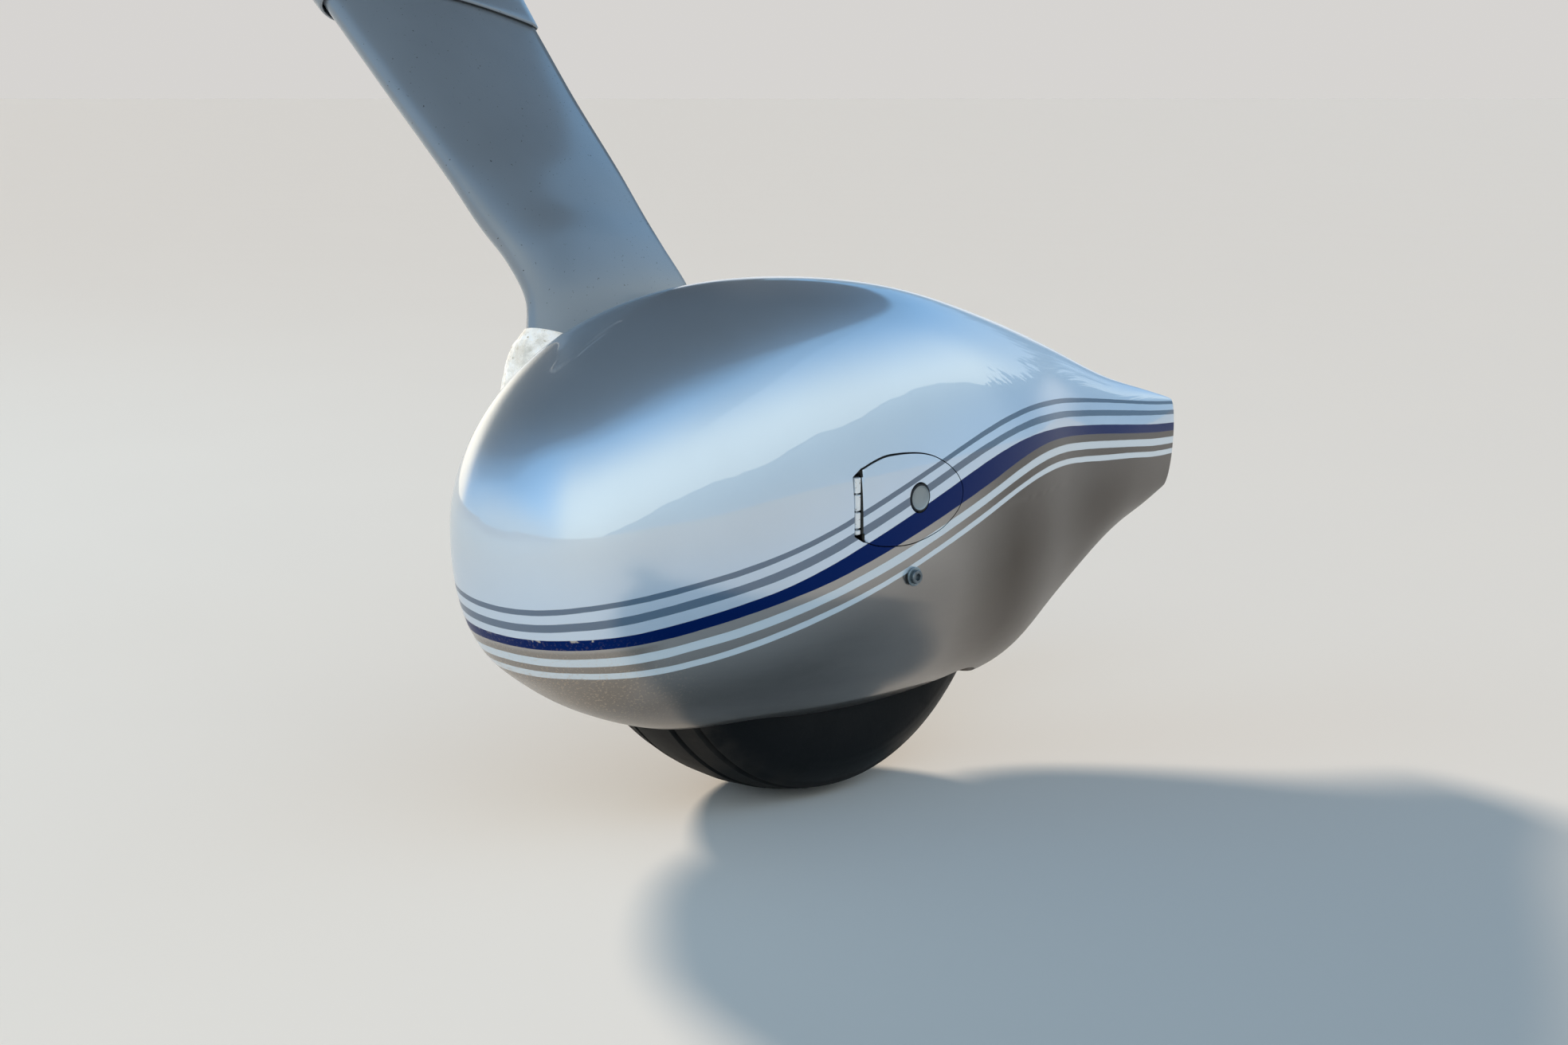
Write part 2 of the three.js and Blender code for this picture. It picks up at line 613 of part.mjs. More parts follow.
// tyre carcass with circumferential grooves, open towards the rim
function tyre() {
  const half = TYRE_W / 2, outer = [];
  const crown = (x) => TYRE_R - 9 * (x / 54) ** 2;
  const grooves = GROOVE_X.filter((x) => x > 0);
  outer.push([0, TYRE_R]);
  for (const x of grooves) {
    outer.push([x - GROOVE_W, crown(x - GROOVE_W)], [x - GROOVE_W / 2, crown(x) - GROOVE_DEPTH],
      [x + GROOVE_W / 2, crown(x) - GROOVE_DEPTH], [x + GROOVE_W, crown(x + GROOVE_W)]);
  }
  outer.push([58, TYRE_R - 13], [64, TYRE_R - 19], [69, TYRE_R - 28], [72, TYRE_R - 39], [half, TYRE_R - 52],
    [72.4, TYRE_R - 64], [70, TYRE_R - 76], [66.5, TYRE_R - 86], [60, 91.5], [55.6, 86], [55.2, 81],
    [51.5, BEAD_R + 0.3]);
  const inner = [[42, BEAD_R + 0.3], [44, 90], [56, 104], [half - CARCASS, 122], [half - CARCASS, 140],
    [59, 156], [48, 165], [30, 172], [0, 174.5]];
  const right = [...outer, ...inner];
  const left = right.slice(1, -1).reverse().map(([x, r]) => [-x, r]);
  return turned([...right, ...left], 38);
}

function wheelFairing(outer) {
  const inner = spatBody(-WALL, 32, 20, 10.0);
  const opening = roundedPlan(OPENING, -150, -45);
  const slot = barBody([60, 110, 140, 165, 181, 205, 240], STRUT_W + 26, STRUT_T + 7, STRUT_Y + 10, 8);
  const door = sidePlate(DOOR_OUTLINE, 100, 150);
  const strip = block(100, 150, HINGE.y - 4.2, HINGE.y + 4.4, HINGE.low - 0.4, HINGE.high + 0.4);
  const screws = BRACKET_SCREWS.map((p) => rodX(2.8, -150, -110, p.y, p.z, 16));
  return cut(outer, inner, opening, slot, door, strip, rodX(4.4, 110, 150), ...screws);
}

const BRACKET_SCREWS = [{ y: -34, z: -20 }, { y: -34, z: 30 }];

function fairingBracket() {
  const base = block(-103.5, -100.5, -62, -8, -34, 44);
  const body = join(base, ...BRACKET_SCREWS.map((p) => rodX(7.5, -128, -103, p.y, p.z)));
  return cut(body, ...BRACKET_SCREWS.map((p) => rodX(2.4, -140, -112, p.y, p.z, 16)));
}

function bracketScrew() {
  return join(rodX(5.5, -138.5, -135.6), rodX(2.1, -136, -114, 0, 0, 16));
}

function grown(outline, by) {
  const cy = outline.reduce((s, p) => s + p.y, 0) / outline.length;
  const cz = outline.reduce((s, p) => s + p.z, 0) / outline.length;
  const n = outline.length;
  return outline.map((p, i) => {
    const a = outline[(i + n - 1) % n], b = outline[(i + 1) % n];
    const e = new THREE.Vector2(b.y - a.y, b.z - a.z).normalize();
    const out = new THREE.Vector2(e.y, -e.x);
    if (out.x * (p.y - cy) + out.y * (p.z - cz) < 0) out.negate();
    return { y: p.y + out.x * by, z: p.z + out.y * by };
  });
}

function accessDoor(outer) {
  const shell = cut(outer, spatBody(-WALL, 32, 20, 10.0));
  const panel = common(shell, sidePlate(grown(DOOR_OUTLINE, -0.7), 100, 150));
  const trim = (reach, low, high) => block(100, 150, HINGE.y - 10, HINGE.y + reach, low, high);
  return cut(panel, trim(DOOR_FRONT.beside, 20, 100), trim(DOOR_FRONT.corner, 20, HINGE.low + 0.6),
    trim(DOOR_FRONT.corner, HINGE.high - 0.6, 100), rodX(LATCH.r + 0.3, 100, 150, LATCH.y, LATCH.z));
}

function doorLatch() {
  const body = rodX(LATCH.r, 126, 133.9, LATCH.y, LATCH.z, 40);
  const tongue = block(123.5, 126.5, LATCH.y - 5, LATCH.y + 5, LATCH.z - 8, LATCH.z + 8);
  return join(body, tongue);
}

// hinge leaves, each with its own knuckles
const KNUCKLES = [
  { part: 'door', low: 69.2, high: 81.5 }, { part: 'fixed', low: 56.2, high: 68.9 },
  { part: 'door', low: 43.2, high: 55.9 }, { part: 'fixed', low: 38.5, high: 42.9 },
];

function hingeLeaf(part) {
  const side = part === 'door' ? 1 : -1;
  const y0 = HINGE.y + side * 4.7, y1 = HINGE.y + side * 22;
  const leaf = block(126.2, 127.9, Math.min(y0, y1), Math.max(y0, y1), HINGE.low, HINGE.high);
  const own = KNUCKLES.filter((k) => k.part === part);
  const tubes = own.map((k) => rodZ(HINGE.r, k.low, k.high, HINGE.x, HINGE.y));
  const webs = own.map((k) => block(126.2, 128.8,
    Math.min(HINGE.y - side, y0 + side), Math.max(HINGE.y - side, y0 + side), k.low, k.high));
  const body = join(leaf, ...tubes, ...webs);
  return cut(body, rodZ(1.4, 30, 90, HINGE.x, HINGE.y));
}

function hingePin() {
  return rodZ(1.1, HINGE.low + 0.2, HINGE.high - 0.2, HINGE.x, HINGE.y);
}

// assembly
const spatOuter = spatBody(0, 44, 32, SPAT.length - 1);
const spatClear = spatBody(0.6, 44, 32, SPAT.length - 1);

add(gear, 'root_fitting', rootFitting(), 'steel');
ROOT_BOLTS.forEach((b, i) => add(gear, `root_bolt_${i + 1}`, rootBolt(b), 'zinc'));
add(gear, 'leg_strut', legStrut(), 'composite');
add(gear, 'leg_fairing', legFairing(spatClear), 'paintDark');
add(gear, 'root_cuff', rootCuff(), 'paint');
add(gear, 'gap_film', gapFilm(spatClear), 'film');
add(gear, 'axle_fitting', axleFitting(), 'alloy');
STRUT_BOLTS.forEach((b, i) => add(gear, `strut_bolt_${i + 1}`, strutBolt(), 'zinc', b.y, b.z));
add(gear, 'axle', axle(), 'steel');
add(gear, 'axle_nut', axleNut(), 'zinc');
add(gear, 'fairing_standoff', standoff(), 'alloy');
add(gear, 'axle_end_bolt', axleEndBolt(), 'steel');
add(gear, 'axle_end_washer', axleEndWasher(), 'steel');
add(gear, 'caliper', caliper(), 'alloy');
CALIPER_BOLTS.forEach((b, i) => add(gear, `caliper_bolt_${i + 1}`, caliperBolt(), 'zinc', b.y, b.z));
add(gear, 'pad_outer', brakePad(-81.7, -76.5), 'friction');
add(gear, 'pad_inner', brakePad(-95.3, -89.3), 'friction');
add(gear, 'brake_line', brakeLine(), 'rubber');
add(gear, 'wheel_fairing', wheelFairing(spatOuter), 'paint');
add(gear, 'fairing_bracket', fairingBracket(), 'alloy');
BRACKET_SCREWS.forEach((p, i) => add(gear, `bracket_screw_${i + 1}`, bracketScrew(), 'zinc', p.y, p.z));
add(gear, 'hinge_fixed_leaf', hingeLeaf('fixed'), 'steel');
add(gear, 'hinge_pin', hingePin(), 'steel');

add(wheel, 'tyre', tyre(), 'rubber');
add(wheel, 'rim_outer', rimHalf(1), 'alloy');
add(wheel, 'rim_inner', rimHalf(-1), 'alloy');
around(TIE_BOLTS, TIE_BOLT_PCR, 30).forEach((p, i) => (
  add(wheel, `tie_bolt_${i + 1}`, tieBolt(), 'zinc', p.y, p.z)));
add(wheel, 'valve_stem', valveRod(3.4, 46, 84), 'rubber');
add(wheel, 'brake_disc', brakeDisc(), 'iron');

add(door, 'access_door', accessDoor(spatOuter), 'paint');
add(door, 'door_latch', doorLatch(), 'zinc');
add(door, 'hinge_door_leaf', hingeLeaf('door'), 'steel');

export default group;
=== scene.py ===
"""Left main gear leg with a faired wheel: camera, light, fine surfaces and finishes.

Shapes are laid out in millimetres about the wheel centre (+X outboard, -Y forward, +Z up)
and moved into the part's frame, in metres, when a mesh is made.
"""
import math

import bmesh
import bpy
import numpy as np
from mathutils import Matrix, Vector


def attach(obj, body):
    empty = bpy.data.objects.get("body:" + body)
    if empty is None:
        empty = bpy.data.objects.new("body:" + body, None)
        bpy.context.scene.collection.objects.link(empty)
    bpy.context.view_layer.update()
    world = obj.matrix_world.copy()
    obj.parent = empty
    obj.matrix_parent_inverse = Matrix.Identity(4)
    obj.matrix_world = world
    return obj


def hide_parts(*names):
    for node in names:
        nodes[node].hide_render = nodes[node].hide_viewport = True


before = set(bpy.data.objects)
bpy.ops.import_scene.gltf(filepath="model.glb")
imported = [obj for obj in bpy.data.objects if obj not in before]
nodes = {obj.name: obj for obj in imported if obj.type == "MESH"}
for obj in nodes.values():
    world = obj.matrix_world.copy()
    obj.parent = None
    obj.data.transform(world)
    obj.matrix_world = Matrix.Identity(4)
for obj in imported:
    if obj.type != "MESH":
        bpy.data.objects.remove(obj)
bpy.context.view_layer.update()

MM = 0.001
HUB = np.array([440.0, 110.0, -560.0])
TYRE_R = 186.0
FLOOR_Z = (HUB[2] - TYRE_R) * MM

# camera, seen from the wheel centre
IMAGE_W, IMAGE_H = 1968, 1312
FOCAL_PX, SENSOR = 3000.0, 36.0
HORIZON_ROW = 115.58
AZIMUTH = math.radians(46.155)
PITCH = math.atan((IMAGE_H / 2 - HORIZON_ROW) / FOCAL_PX)
EYE = np.array([1329.79, -1282.19, 356.17])


def link(obj):
    bpy.context.scene.collection.objects.link(obj)
    return obj


def make_camera():
    data = bpy.data.cameras.new("camera")
    data.sensor_width = SENSOR
    data.lens = FOCAL_PX / IMAGE_W * data.sensor_width
    data.clip_start, data.clip_end = 0.05, 200.0
    right = Vector((math.cos(AZIMUTH), math.sin(AZIMUTH), 0))
    level = Vector((-math.sin(AZIMUTH), math.cos(AZIMUTH), 0))
    ahead = level * math.cos(PITCH) - Vector((0, 0, math.sin(PITCH)))
    up = right.cross(ahead)
    camera = bpy.data.objects.new("camera", data)
    turn = Matrix((right, up, -ahead)).transposed().to_4x4()
    camera.matrix_world = Matrix.Translation(Vector((EYE + HUB) * MM)) @ turn
    bpy.context.scene.camera = link(camera)


make_camera()

# wheel fairing stations: y, half width, top, low, beam, upper and lower fullness
SPAT = np.array([
    [-290.2, 0.0, 28.3, 28.3, 28.3, 2.2, 2.2],
    [-279.2, 61.1, 91.9, -37.8, 40, 2.2, 2.2],
    [-246.3, 95.2, 150.4, -70.5, 40, 2.2, 2.3],
    [-182.3, 122.5, 192.8, -105.0, 40, 2.2, 2.6],
    [-98.4, 133.2, 213.2, -116.8, 40, 2.3, 2.9],
    [-6.4, 134.9, 216.9, -121.9, 40, 2.3, 3.0],
    [94.5, 123.4, 205.7, -120.8, 38, 2.3, 3.0],
    [195.4, 97.2, 178.4, -120.2, 36, 2.2, 2.6],
    [287.4, 59.4, 146.9, -86.9, 35, 2.2, 2.2],
    [379.3, 36.0, 110.1, -37.0, 34, 2.1, 2.1],
    [444.3, 18.0, 91.6, -17.3, 32, 2.0, 2.0],
    [482.5, 7.4, 80.6, -4.2, 33, 2.0, 2.0],
    [489.6, 5.2, 76.8, -0.2, 34, 2.0, 2.0],
    [491.2, 3.6, 71.2, 5.8, 34, 2.0, 2.0],
])
U_END = len(SPAT) - 1
WALL = 3.0

# the raked end of the tail: how far, from which height, over which stations
TAIL_RAKE, TAIL_TOP, TAIL_HEIGHT = 7.5, 77.5, 75.0
TAIL_FROM, TAIL_RUN = 9.0, 2.4

# leg centre line (height, sideways) and sections (height, leading, trailing edge, thickness)
LEG_LINE = np.array([
    [-60, -110.5], [100, -110.5], [150, -111.5], [181, -114], [205, -120], [234, -137],
    [258, -157], [296, -189], [360, -254.5], [425, -321], [490, -387.5], [560, -459],
])
LEG_SECTIONS = np.array([
    [112, -178, 40, 66], [150, -170, 24, 56], [181, -163.5, 9, 47], [205, -161, -1, 42],
    [234, -166.5, -10.5, 40], [262, -175.5, -13, 40], [296, -182, -14.5, 40],
    [345, -188.5, -12.5, 41], [396, -195, -7, 42], [462, -203, 0, 43],
])

CUFF_TILT = 9.5
FOOT_FLARE, FOOT_FADE, LEG_WALL = 4.5, 6.0, 2.0
TRAIL_HALF, BLUNT_FROM, FLARE_SHARE = 0.9, 0.97, 0.42

# access door, latch and hinge in side view
DOOR_OUTLINE = np.array([
    [-54.6, 87.0], [-40, 91.6], [-24, 94.3], [2, 93.2], [22, 89.5], [38, 83], [50, 75.5],
    [58, 67.5], [62, 57.5], [58.5, 46.5], [48, 38], [32, 30.6], [7, 25.4], [-13, 24.6],
    [-38, 27.6], [-54.6, 33.2],
])
DOOR_FRONT = {"beside": -54.1, "corner": -52.9, "low": 34.6, "high": 86.2, "margin": 0.6}
DOOR_GAP = (0.6, 1.5)
LATCH_Y, LATCH_Z, LATCH_R, LATCH_GAP = 8.0, 58.5, 10.5, 0.95
HINGE_X, HINGE_Y, HINGE_R = 131.4, -58.5, 3.3
HINGE_LOW, HINGE_HIGH = 38.5, 81.5
KNUCKLES = [
    ("door", 69.2, 81.5), ("fixed", 56.2, 68.9), ("door", 43.2, 55.9), ("fixed", 38.5, 42.9),
]
KNUCKLE_GAP, KNUCKLE_BEVEL, PIN_R = 0.45, 0.5, 1.3
LEAF_X, LEAF_REACH = (126.2, 127.9), (4.7, 22.0)
WEB_X, WEB_REACH = (126.4, 128.6), (1.0, 5.7)
STRIP_FRONT, STRIP_MARGIN = 4.9, 0.4
# hinge faces wholly inboard of this are near-black painted shade
PAINTED_SHADE_BEHIND = 129.0
SCREWS = [(-34.0, -20.0), (-34.0, 30.0)]
GROOVE_X = (25.0, 50.0)

# edges of the stripes, top to bottom, at stations along the fairing
STRIPES = np.array([
    [-291, -1.0, -5.5, -12.5, -18.5, -24.0, -29.5, -35.0, -41.0, -46.0, -52.0],
    [-272, 6.3, 2.0, -5.3, -11.7, -18.6, -26.7, -33.9, -40.3, -45.6, -51.4],
    [-258, 9.2, 5.1, -3.0, -9.4, -17.2, -25.6, -32.8, -39.6, -45.2, -50.4],
    [-240, 12.6, 8.3, 0.5, -6.0, -14.6, -23.4, -31.0, -38.2, -44.4, -49.6],
    [-220, 16.8, 12.2, 5.0, -1.4, -10.3, -19.6, -27.2, -34.6, -41.8, -47.2],
    [-195, 21.6, 17.4, 10.4, 3.8, -4.8, -14.0, -21.6, -28.6, -36.8, -42.0],
    [-165, 27.2, 22.6, 15.6, 9.4, 1.2, -8.0, -15.8, -23.0, -30.6, -35.8],
    [-130, 34.2, 29.8, 22.7, 15.9, 8.0, -1.5, -8.9, -16.0, -23.2, -28.4],
    [-90, 44.4, 40.0, 33.0, 26.0, 18.6, 6.5, -0.7, -7.2, -14.3, -19.2],
    [-50, 57.3, 52.7, 45.7, 38.9, 31.4, 16.8, 9.7, 2.6, -4.6, -9.0],
    [-10, 70.1, 65.8, 58.6, 52.0, 44.2, 27.9, 20.7, 13.4, 6.4, 2.2],
    [35, 83.4, 79.4, 72.6, 66.4, 58.2, 40.6, 33.4, 26.4, 19.6, 15.2],
    [80, 95.0, 91.0, 84.6, 78.8, 70.8, 52.6, 45.4, 38.8, 32.3, 27.6],
    [110, 101.0, 96.8, 90.4, 84.9, 77.4, 60.0, 53.0, 46.6, 40.2, 35.7],
    [135, 104.6, 100.4, 94.0, 88.8, 81.4, 65.9, 59.0, 52.6, 46.2, 41.9],
    [160, 106.8, 102.7, 96.4, 91.2, 84.0, 70.6, 63.8, 57.4, 51.0, 46.8],
    [185, 107.9, 103.8, 97.6, 92.2, 85.0, 73.8, 67.2, 60.8, 54.6, 50.2],
    [215, 107.4, 103.3, 97.0, 91.6, 84.4, 75.0, 68.6, 62.4, 56.4, 51.8],
    [250, 105.2, 101.2, 94.8, 89.6, 82.2, 73.6, 67.4, 61.3, 55.2, 50.7],
    [290, 101.0, 97.2, 90.7, 85.6, 78.0, 70.0, 63.8, 57.7, 51.6, 47.0],
    [335, 95.4, 92.0, 85.7, 80.7, 73.2, 65.3, 59.2, 53.1, 47.0, 42.2],
    [390, 88.0, 85.0, 79.2, 74.4, 66.7, 59.0, 53.3, 47.2, 41.9, 37.2],
    [445, 80.9, 78.0, 72.6, 68.4, 60.4, 53.0, 47.4, 41.1, 36.0, 31.2],
    [492, 76.0, 73.2, 68.2, 64.2, 56.6, 49.4, 44.0, 38.0, 33.2, 28.6],
])
STRIPE_LOW, STRIPE_HIGH, STRIPE_SHARP = -60.0, 115.0, 2500.0


# surfaces: reach of the averaging along the stations, and where it fades in and out
EVEN_REACH = 0.7
EVEN_IN, EVEN_OUT = (0.8, 2.6), (9.6, 11.2)


def ramp(value, low, high):
    t = np.clip((value - low) / (high - low), 0, 1)
    return t * t * (3 - 2 * t)


def cubic(a, b, c, d, t):
    """Smooth curve from b to c, with a and d as its neighbours."""
    return 0.5 * (2 * b + (c - a) * t + (2 * a - 5 * b + 4 * c - d) * t**2
                  + (3 * b - a - 3 * c + d) * t**3)


def unit(v):
    return v / np.maximum(np.linalg.norm(v, axis=-1, keepdims=True), 1e-12)


def run_along(points):
    """Distance along a line of points."""
    return np.concatenate([[0], np.cumsum(np.linalg.norm(np.diff(points, axis=0), axis=1))])


def station_curve(u):
    """Station values at u, on a curve through the table."""
    i = np.clip(np.floor(u).astype(int), 0, U_END - 1)
    nose = SPAT[1].copy()
    nose[1], nose[2], nose[3] = -SPAT[1][1], SPAT[1][3], SPAT[1][2]
    rows = np.vstack([nose, SPAT, 2 * SPAT[-1] - SPAT[-2]])
    return cubic(rows[i], rows[i + 1], rows[i + 2], rows[i + 3], (u - i)[..., None])


def spat_at(u):
    """Station values at u, averaged over a short reach so that the curvature has no steps."""
    u = np.asarray(u, float)
    reach = EVEN_REACH * ramp(u, *EVEN_IN) * (1 - ramp(u, *EVEN_OUT))
    steps = np.linspace(-1, 1, 9)
    shares = 1 + np.cos(np.pi * steps)
    total = sum(w * station_curve(u + reach * k) for k, w in zip(steps, shares))
    return total / shares.sum()


def tail_drop(u, z):
    """How far the raked end of the tail lies ahead of its station."""
    share = ramp(u, TAIL_FROM, TAIL_FROM + TAIL_RUN)
    return TAIL_RAKE * share * np.clip((TAIL_TOP - z) / TAIL_HEIGHT, 0, 1.3) ** 1.5


def spat_point(u, v):
    """Point of the fairing surface: u along it from the nose, v round it from outboard."""
    u, v = np.broadcast_arrays(np.asarray(u, float), np.asarray(v, float))
    s = spat_at(u)
    c, n = np.cos(v), np.sin(v)
    power = 2 / np.where(n >= 0, s[..., 5], s[..., 6])
    rise = np.where(n >= 0, s[..., 2] - s[..., 4], s[..., 4] - s[..., 3])
    z = s[..., 4] + rise * np.sign(n) * np.abs(n) ** power
    x = s[..., 1] * np.sign(c) * np.abs(c) ** power
    return np.stack([x, s[..., 0] - tail_drop(u, z), z], -1)


def spat_normal(u, v):
    e = 2e-3
    u = np.clip(u, 0.02, U_END - e)
    du = spat_point(u + e, v) - spat_point(u - e, v)
    dv = spat_point(u, v + e) - spat_point(u, v - e)
    return unit(np.cross(du, dv))


U_TABLE = np.linspace(0.0, U_END, 6000)
S_TABLE = spat_at(U_TABLE)
Y_TABLE = S_TABLE[:, 0]


def side_uv(y, z):
    """Surface parameters of the outboard point at (y, z)."""
    u = np.interp(y, Y_TABLE, U_TABLE)
    s = spat_at(u)
    above = z >= s[..., 4]
    rise = np.where(above, s[..., 2] - s[..., 4], s[..., 4] - s[..., 3])
    power = np.where(above, s[..., 5], s[..., 6])
    n = np.clip(np.abs(z - s[..., 4]) / rise, 0, 1) ** (power / 2)
    v = np.arcsin(n) * np.where(above, 1, -1)
    return u, v


def on_side(y, z, offset):
    """Point at (y, z) on the outboard side, moved off the surface along its normal."""
    u, v = side_uv(y, z)
    p = spat_point(u, v)
    p[..., 1], p[..., 2] = y, z
    return p + spat_normal(u, v) * offset


def top_height(x, y):
    """Height of the fairing's upper surface above the point (x, y)."""
    s = spat_at(np.interp(y, Y_TABLE, U_TABLE))
    share = np.clip(np.abs(x) / np.maximum(s[..., 1], 1e-6), 0, 1) ** s[..., 5]
    return s[..., 4] + (s[..., 2] - s[..., 4]) * (1 - share) ** (1 / s[..., 5])


def between(table, z, col):
    z = np.asarray(z, float)
    zs, v, n = table[:, 0], table[:, col], len(table)
    i = np.clip(np.searchsorted(zs, z, side="right") - 1, 0, n - 2)
    h = zs[i + 1] - zs[i]
    t = (z - zs[i]) / h
    a, d = np.maximum(i - 1, 0), np.minimum(i + 2, n - 1)
    m1 = (v[i + 1] - v[a]) / (zs[i + 1] - zs[a])
    m2 = (v[d] - v[i]) / (zs[d] - zs[i])
    return ((2 * t**3 - 3 * t**2 + 1) * v[i] + (t**3 - 2 * t**2 + t) * h * m1
            + (3 * t**2 - 2 * t**3) * v[i + 1] + (t**3 - t**2) * h * m2)


def aerofoil(s):
    return 5 * (0.2969 * np.sqrt(s) - 0.126 * s - 0.3516 * s**2 + 0.2843 * s**3 - 0.1028 * s**4)


def leg_slope(z):
    return (between(LEG_LINE, z + 1, 1) - between(LEG_LINE, z - 1, 1)) / 2


def leg_frame(z):
    """Point of the leg's centre line at a height, and the direction across the leg."""
    slope = float(leg_slope(z))
    side = np.array([1.0, 0.0, -slope]) / math.hypot(slope, 1)
    return np.array([float(between(LEG_LINE, z, 1)), 0.0, z]), side


def foil_ring(height, grow, around, level=0.0, end=1.0, tilt=0.0):
    """Closed loop round the leg, grown off the aerofoil; tilt lifts its front, lowers its rear."""
    a = 2 * np.pi * (np.arange(around) + 0.5) / around
    z = height + tilt * np.cos(a)
    slope = leg_slope(z)
    out = np.stack([1 / np.hypot(slope, 1) * (1 - level) + level, 0 * z,
                    -slope / np.hypot(slope, 1) * (1 - level)], -1)
    at = np.stack([between(LEG_LINE, z, 1), 0 * z, z], -1)
    lead, trail, thick = (between(LEG_SECTIONS, z, k) for k in (1, 2, 3))
    thick = thick * (1 + FLARE_SHARE * level)
    chord = (trail - lead) * end

    def flat(a):
        k = (1 - np.cos(a)) / 2
        y = lead + chord * k
        half = aerofoil(k * end) * thick
        return y, np.sign(np.sin(a)) * np.where(k > 0.5, np.maximum(half, TRAIL_HALF), half), k

    y, t, k = flat(a)
    y1, t1, _ = flat(a + 1e-3)
    y0, t0, _ = flat(a - 1e-3)
    normal = unit(np.stack([t0 - t1, y1 - y0], -1))
    if grow > 0:
        blunt = np.clip((k - BLUNT_FROM) / (1 - BLUNT_FROM), 0, 1)[:, None]
        normal = normal * (1 - blunt) + blunt * [1, 0]
    y, t = np.stack([y, t]) + grow * unit(normal).T
    return at + t[:, None] * unit(out) + np.stack([0 * y, y, 0 * y], -1)


# meshes
def new_object(name, verts, faces, slots, face_slots=0):
    mesh = bpy.data.meshes.new(name)
    mesh.from_pydata(((np.asarray(verts) + HUB) * MM).tolist(), [], faces)
    for material in slots:
        mesh.materials.append(material)
    mesh.polygons.foreach_set("material_index", np.full(len(faces), face_slots, np.int32))
    mesh.shade_smooth()
    mesh.validate()
    mesh.update()
    return link(bpy.data.objects.new(name, mesh))


def tube(rings, closed_loop=False):
    """Vertices and faces of a skin over rings of equal length."""
    rings = np.asarray(rings)
    n, m = rings.shape[:2]
    faces = []
    for i in range(n if closed_loop else n - 1):
        k = (i + 1) % n
        for j in range(m):
            j2 = (j + 1) % m
            faces.append((i * m + j, k * m + j, k * m + j2, i * m + j2))
    if not closed_loop:
        faces.append(tuple(range(m)))
        faces.append(tuple((n - 1) * m + j for j in reversed(range(m))))
    return rings.reshape(-1, 3), faces


def outward(obj):
    """Turns the faces of a closed mesh to point outwards."""
    bm = bmesh.new()
    bm.from_mesh(obj.data)
    bmesh.ops.recalc_face_normals(bm, faces=bm.faces)
    if bm.calc_volume(signed=True) < 0:
        bmesh.ops.reverse_faces(bm, faces=bm.faces)
    bm.to_mesh(obj.data)
    bm.free()
    return obj


def solid(name, rings, slots=(), face_slots=0, closed_loop=False):
    """Closed mesh over rings."""
    verts, faces = tube(rings, closed_loop)
    return outward(new_object(name, verts, faces, slots, face_slots))


def turned(profile, around, centre=(0.0, 0.0)):
    """Rings of a solid of revolution about X from [x, r] corners."""
    a = 2 * np.pi * np.arange(around) / around
    return [np.stack([np.full(around, x), centre[0] + r * np.cos(a), centre[1] + r * np.sin(a)], -1)
            for x, r in profile]


def prism(name, outline, x0, x1):
    """Closed prism along X over a side view outline."""
    return solid(name, [np.insert(np.asarray(outline, float), 0, x, axis=1) for x in (x0, x1)])


def rod(name, r, x0, x1, y, z, around=48):
    return solid(name, turned([(x0, r), (x1, r)], around, (y, z)))


def carve(obj, *cutters):
    """Cuts the other meshes out of obj and removes them."""
    for cutter in cutters:
        mod = obj.modifiers.new("cut", "BOOLEAN")
        mod.operation, mod.object, mod.solver = "DIFFERENCE", cutter, "MANIFOLD"
        graph = bpy.context.evaluated_depsgraph_get()
        mesh = bpy.data.meshes.new_from_object(obj.evaluated_get(graph))
        obj.modifiers.clear()
        old, obj.data = obj.data, mesh
        bpy.data.meshes.remove(old)
        bpy.data.objects.remove(cutter)


def shade(obj, angle=35.0):
    obj.data.shade_smooth()
    obj.data.set_sharp_from_angle(angle=math.radians(angle))
    return obj


def finish_piece(obj, body, slot, *replaced):
    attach(obj, body)
    if replaced:
        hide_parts(*replaced)


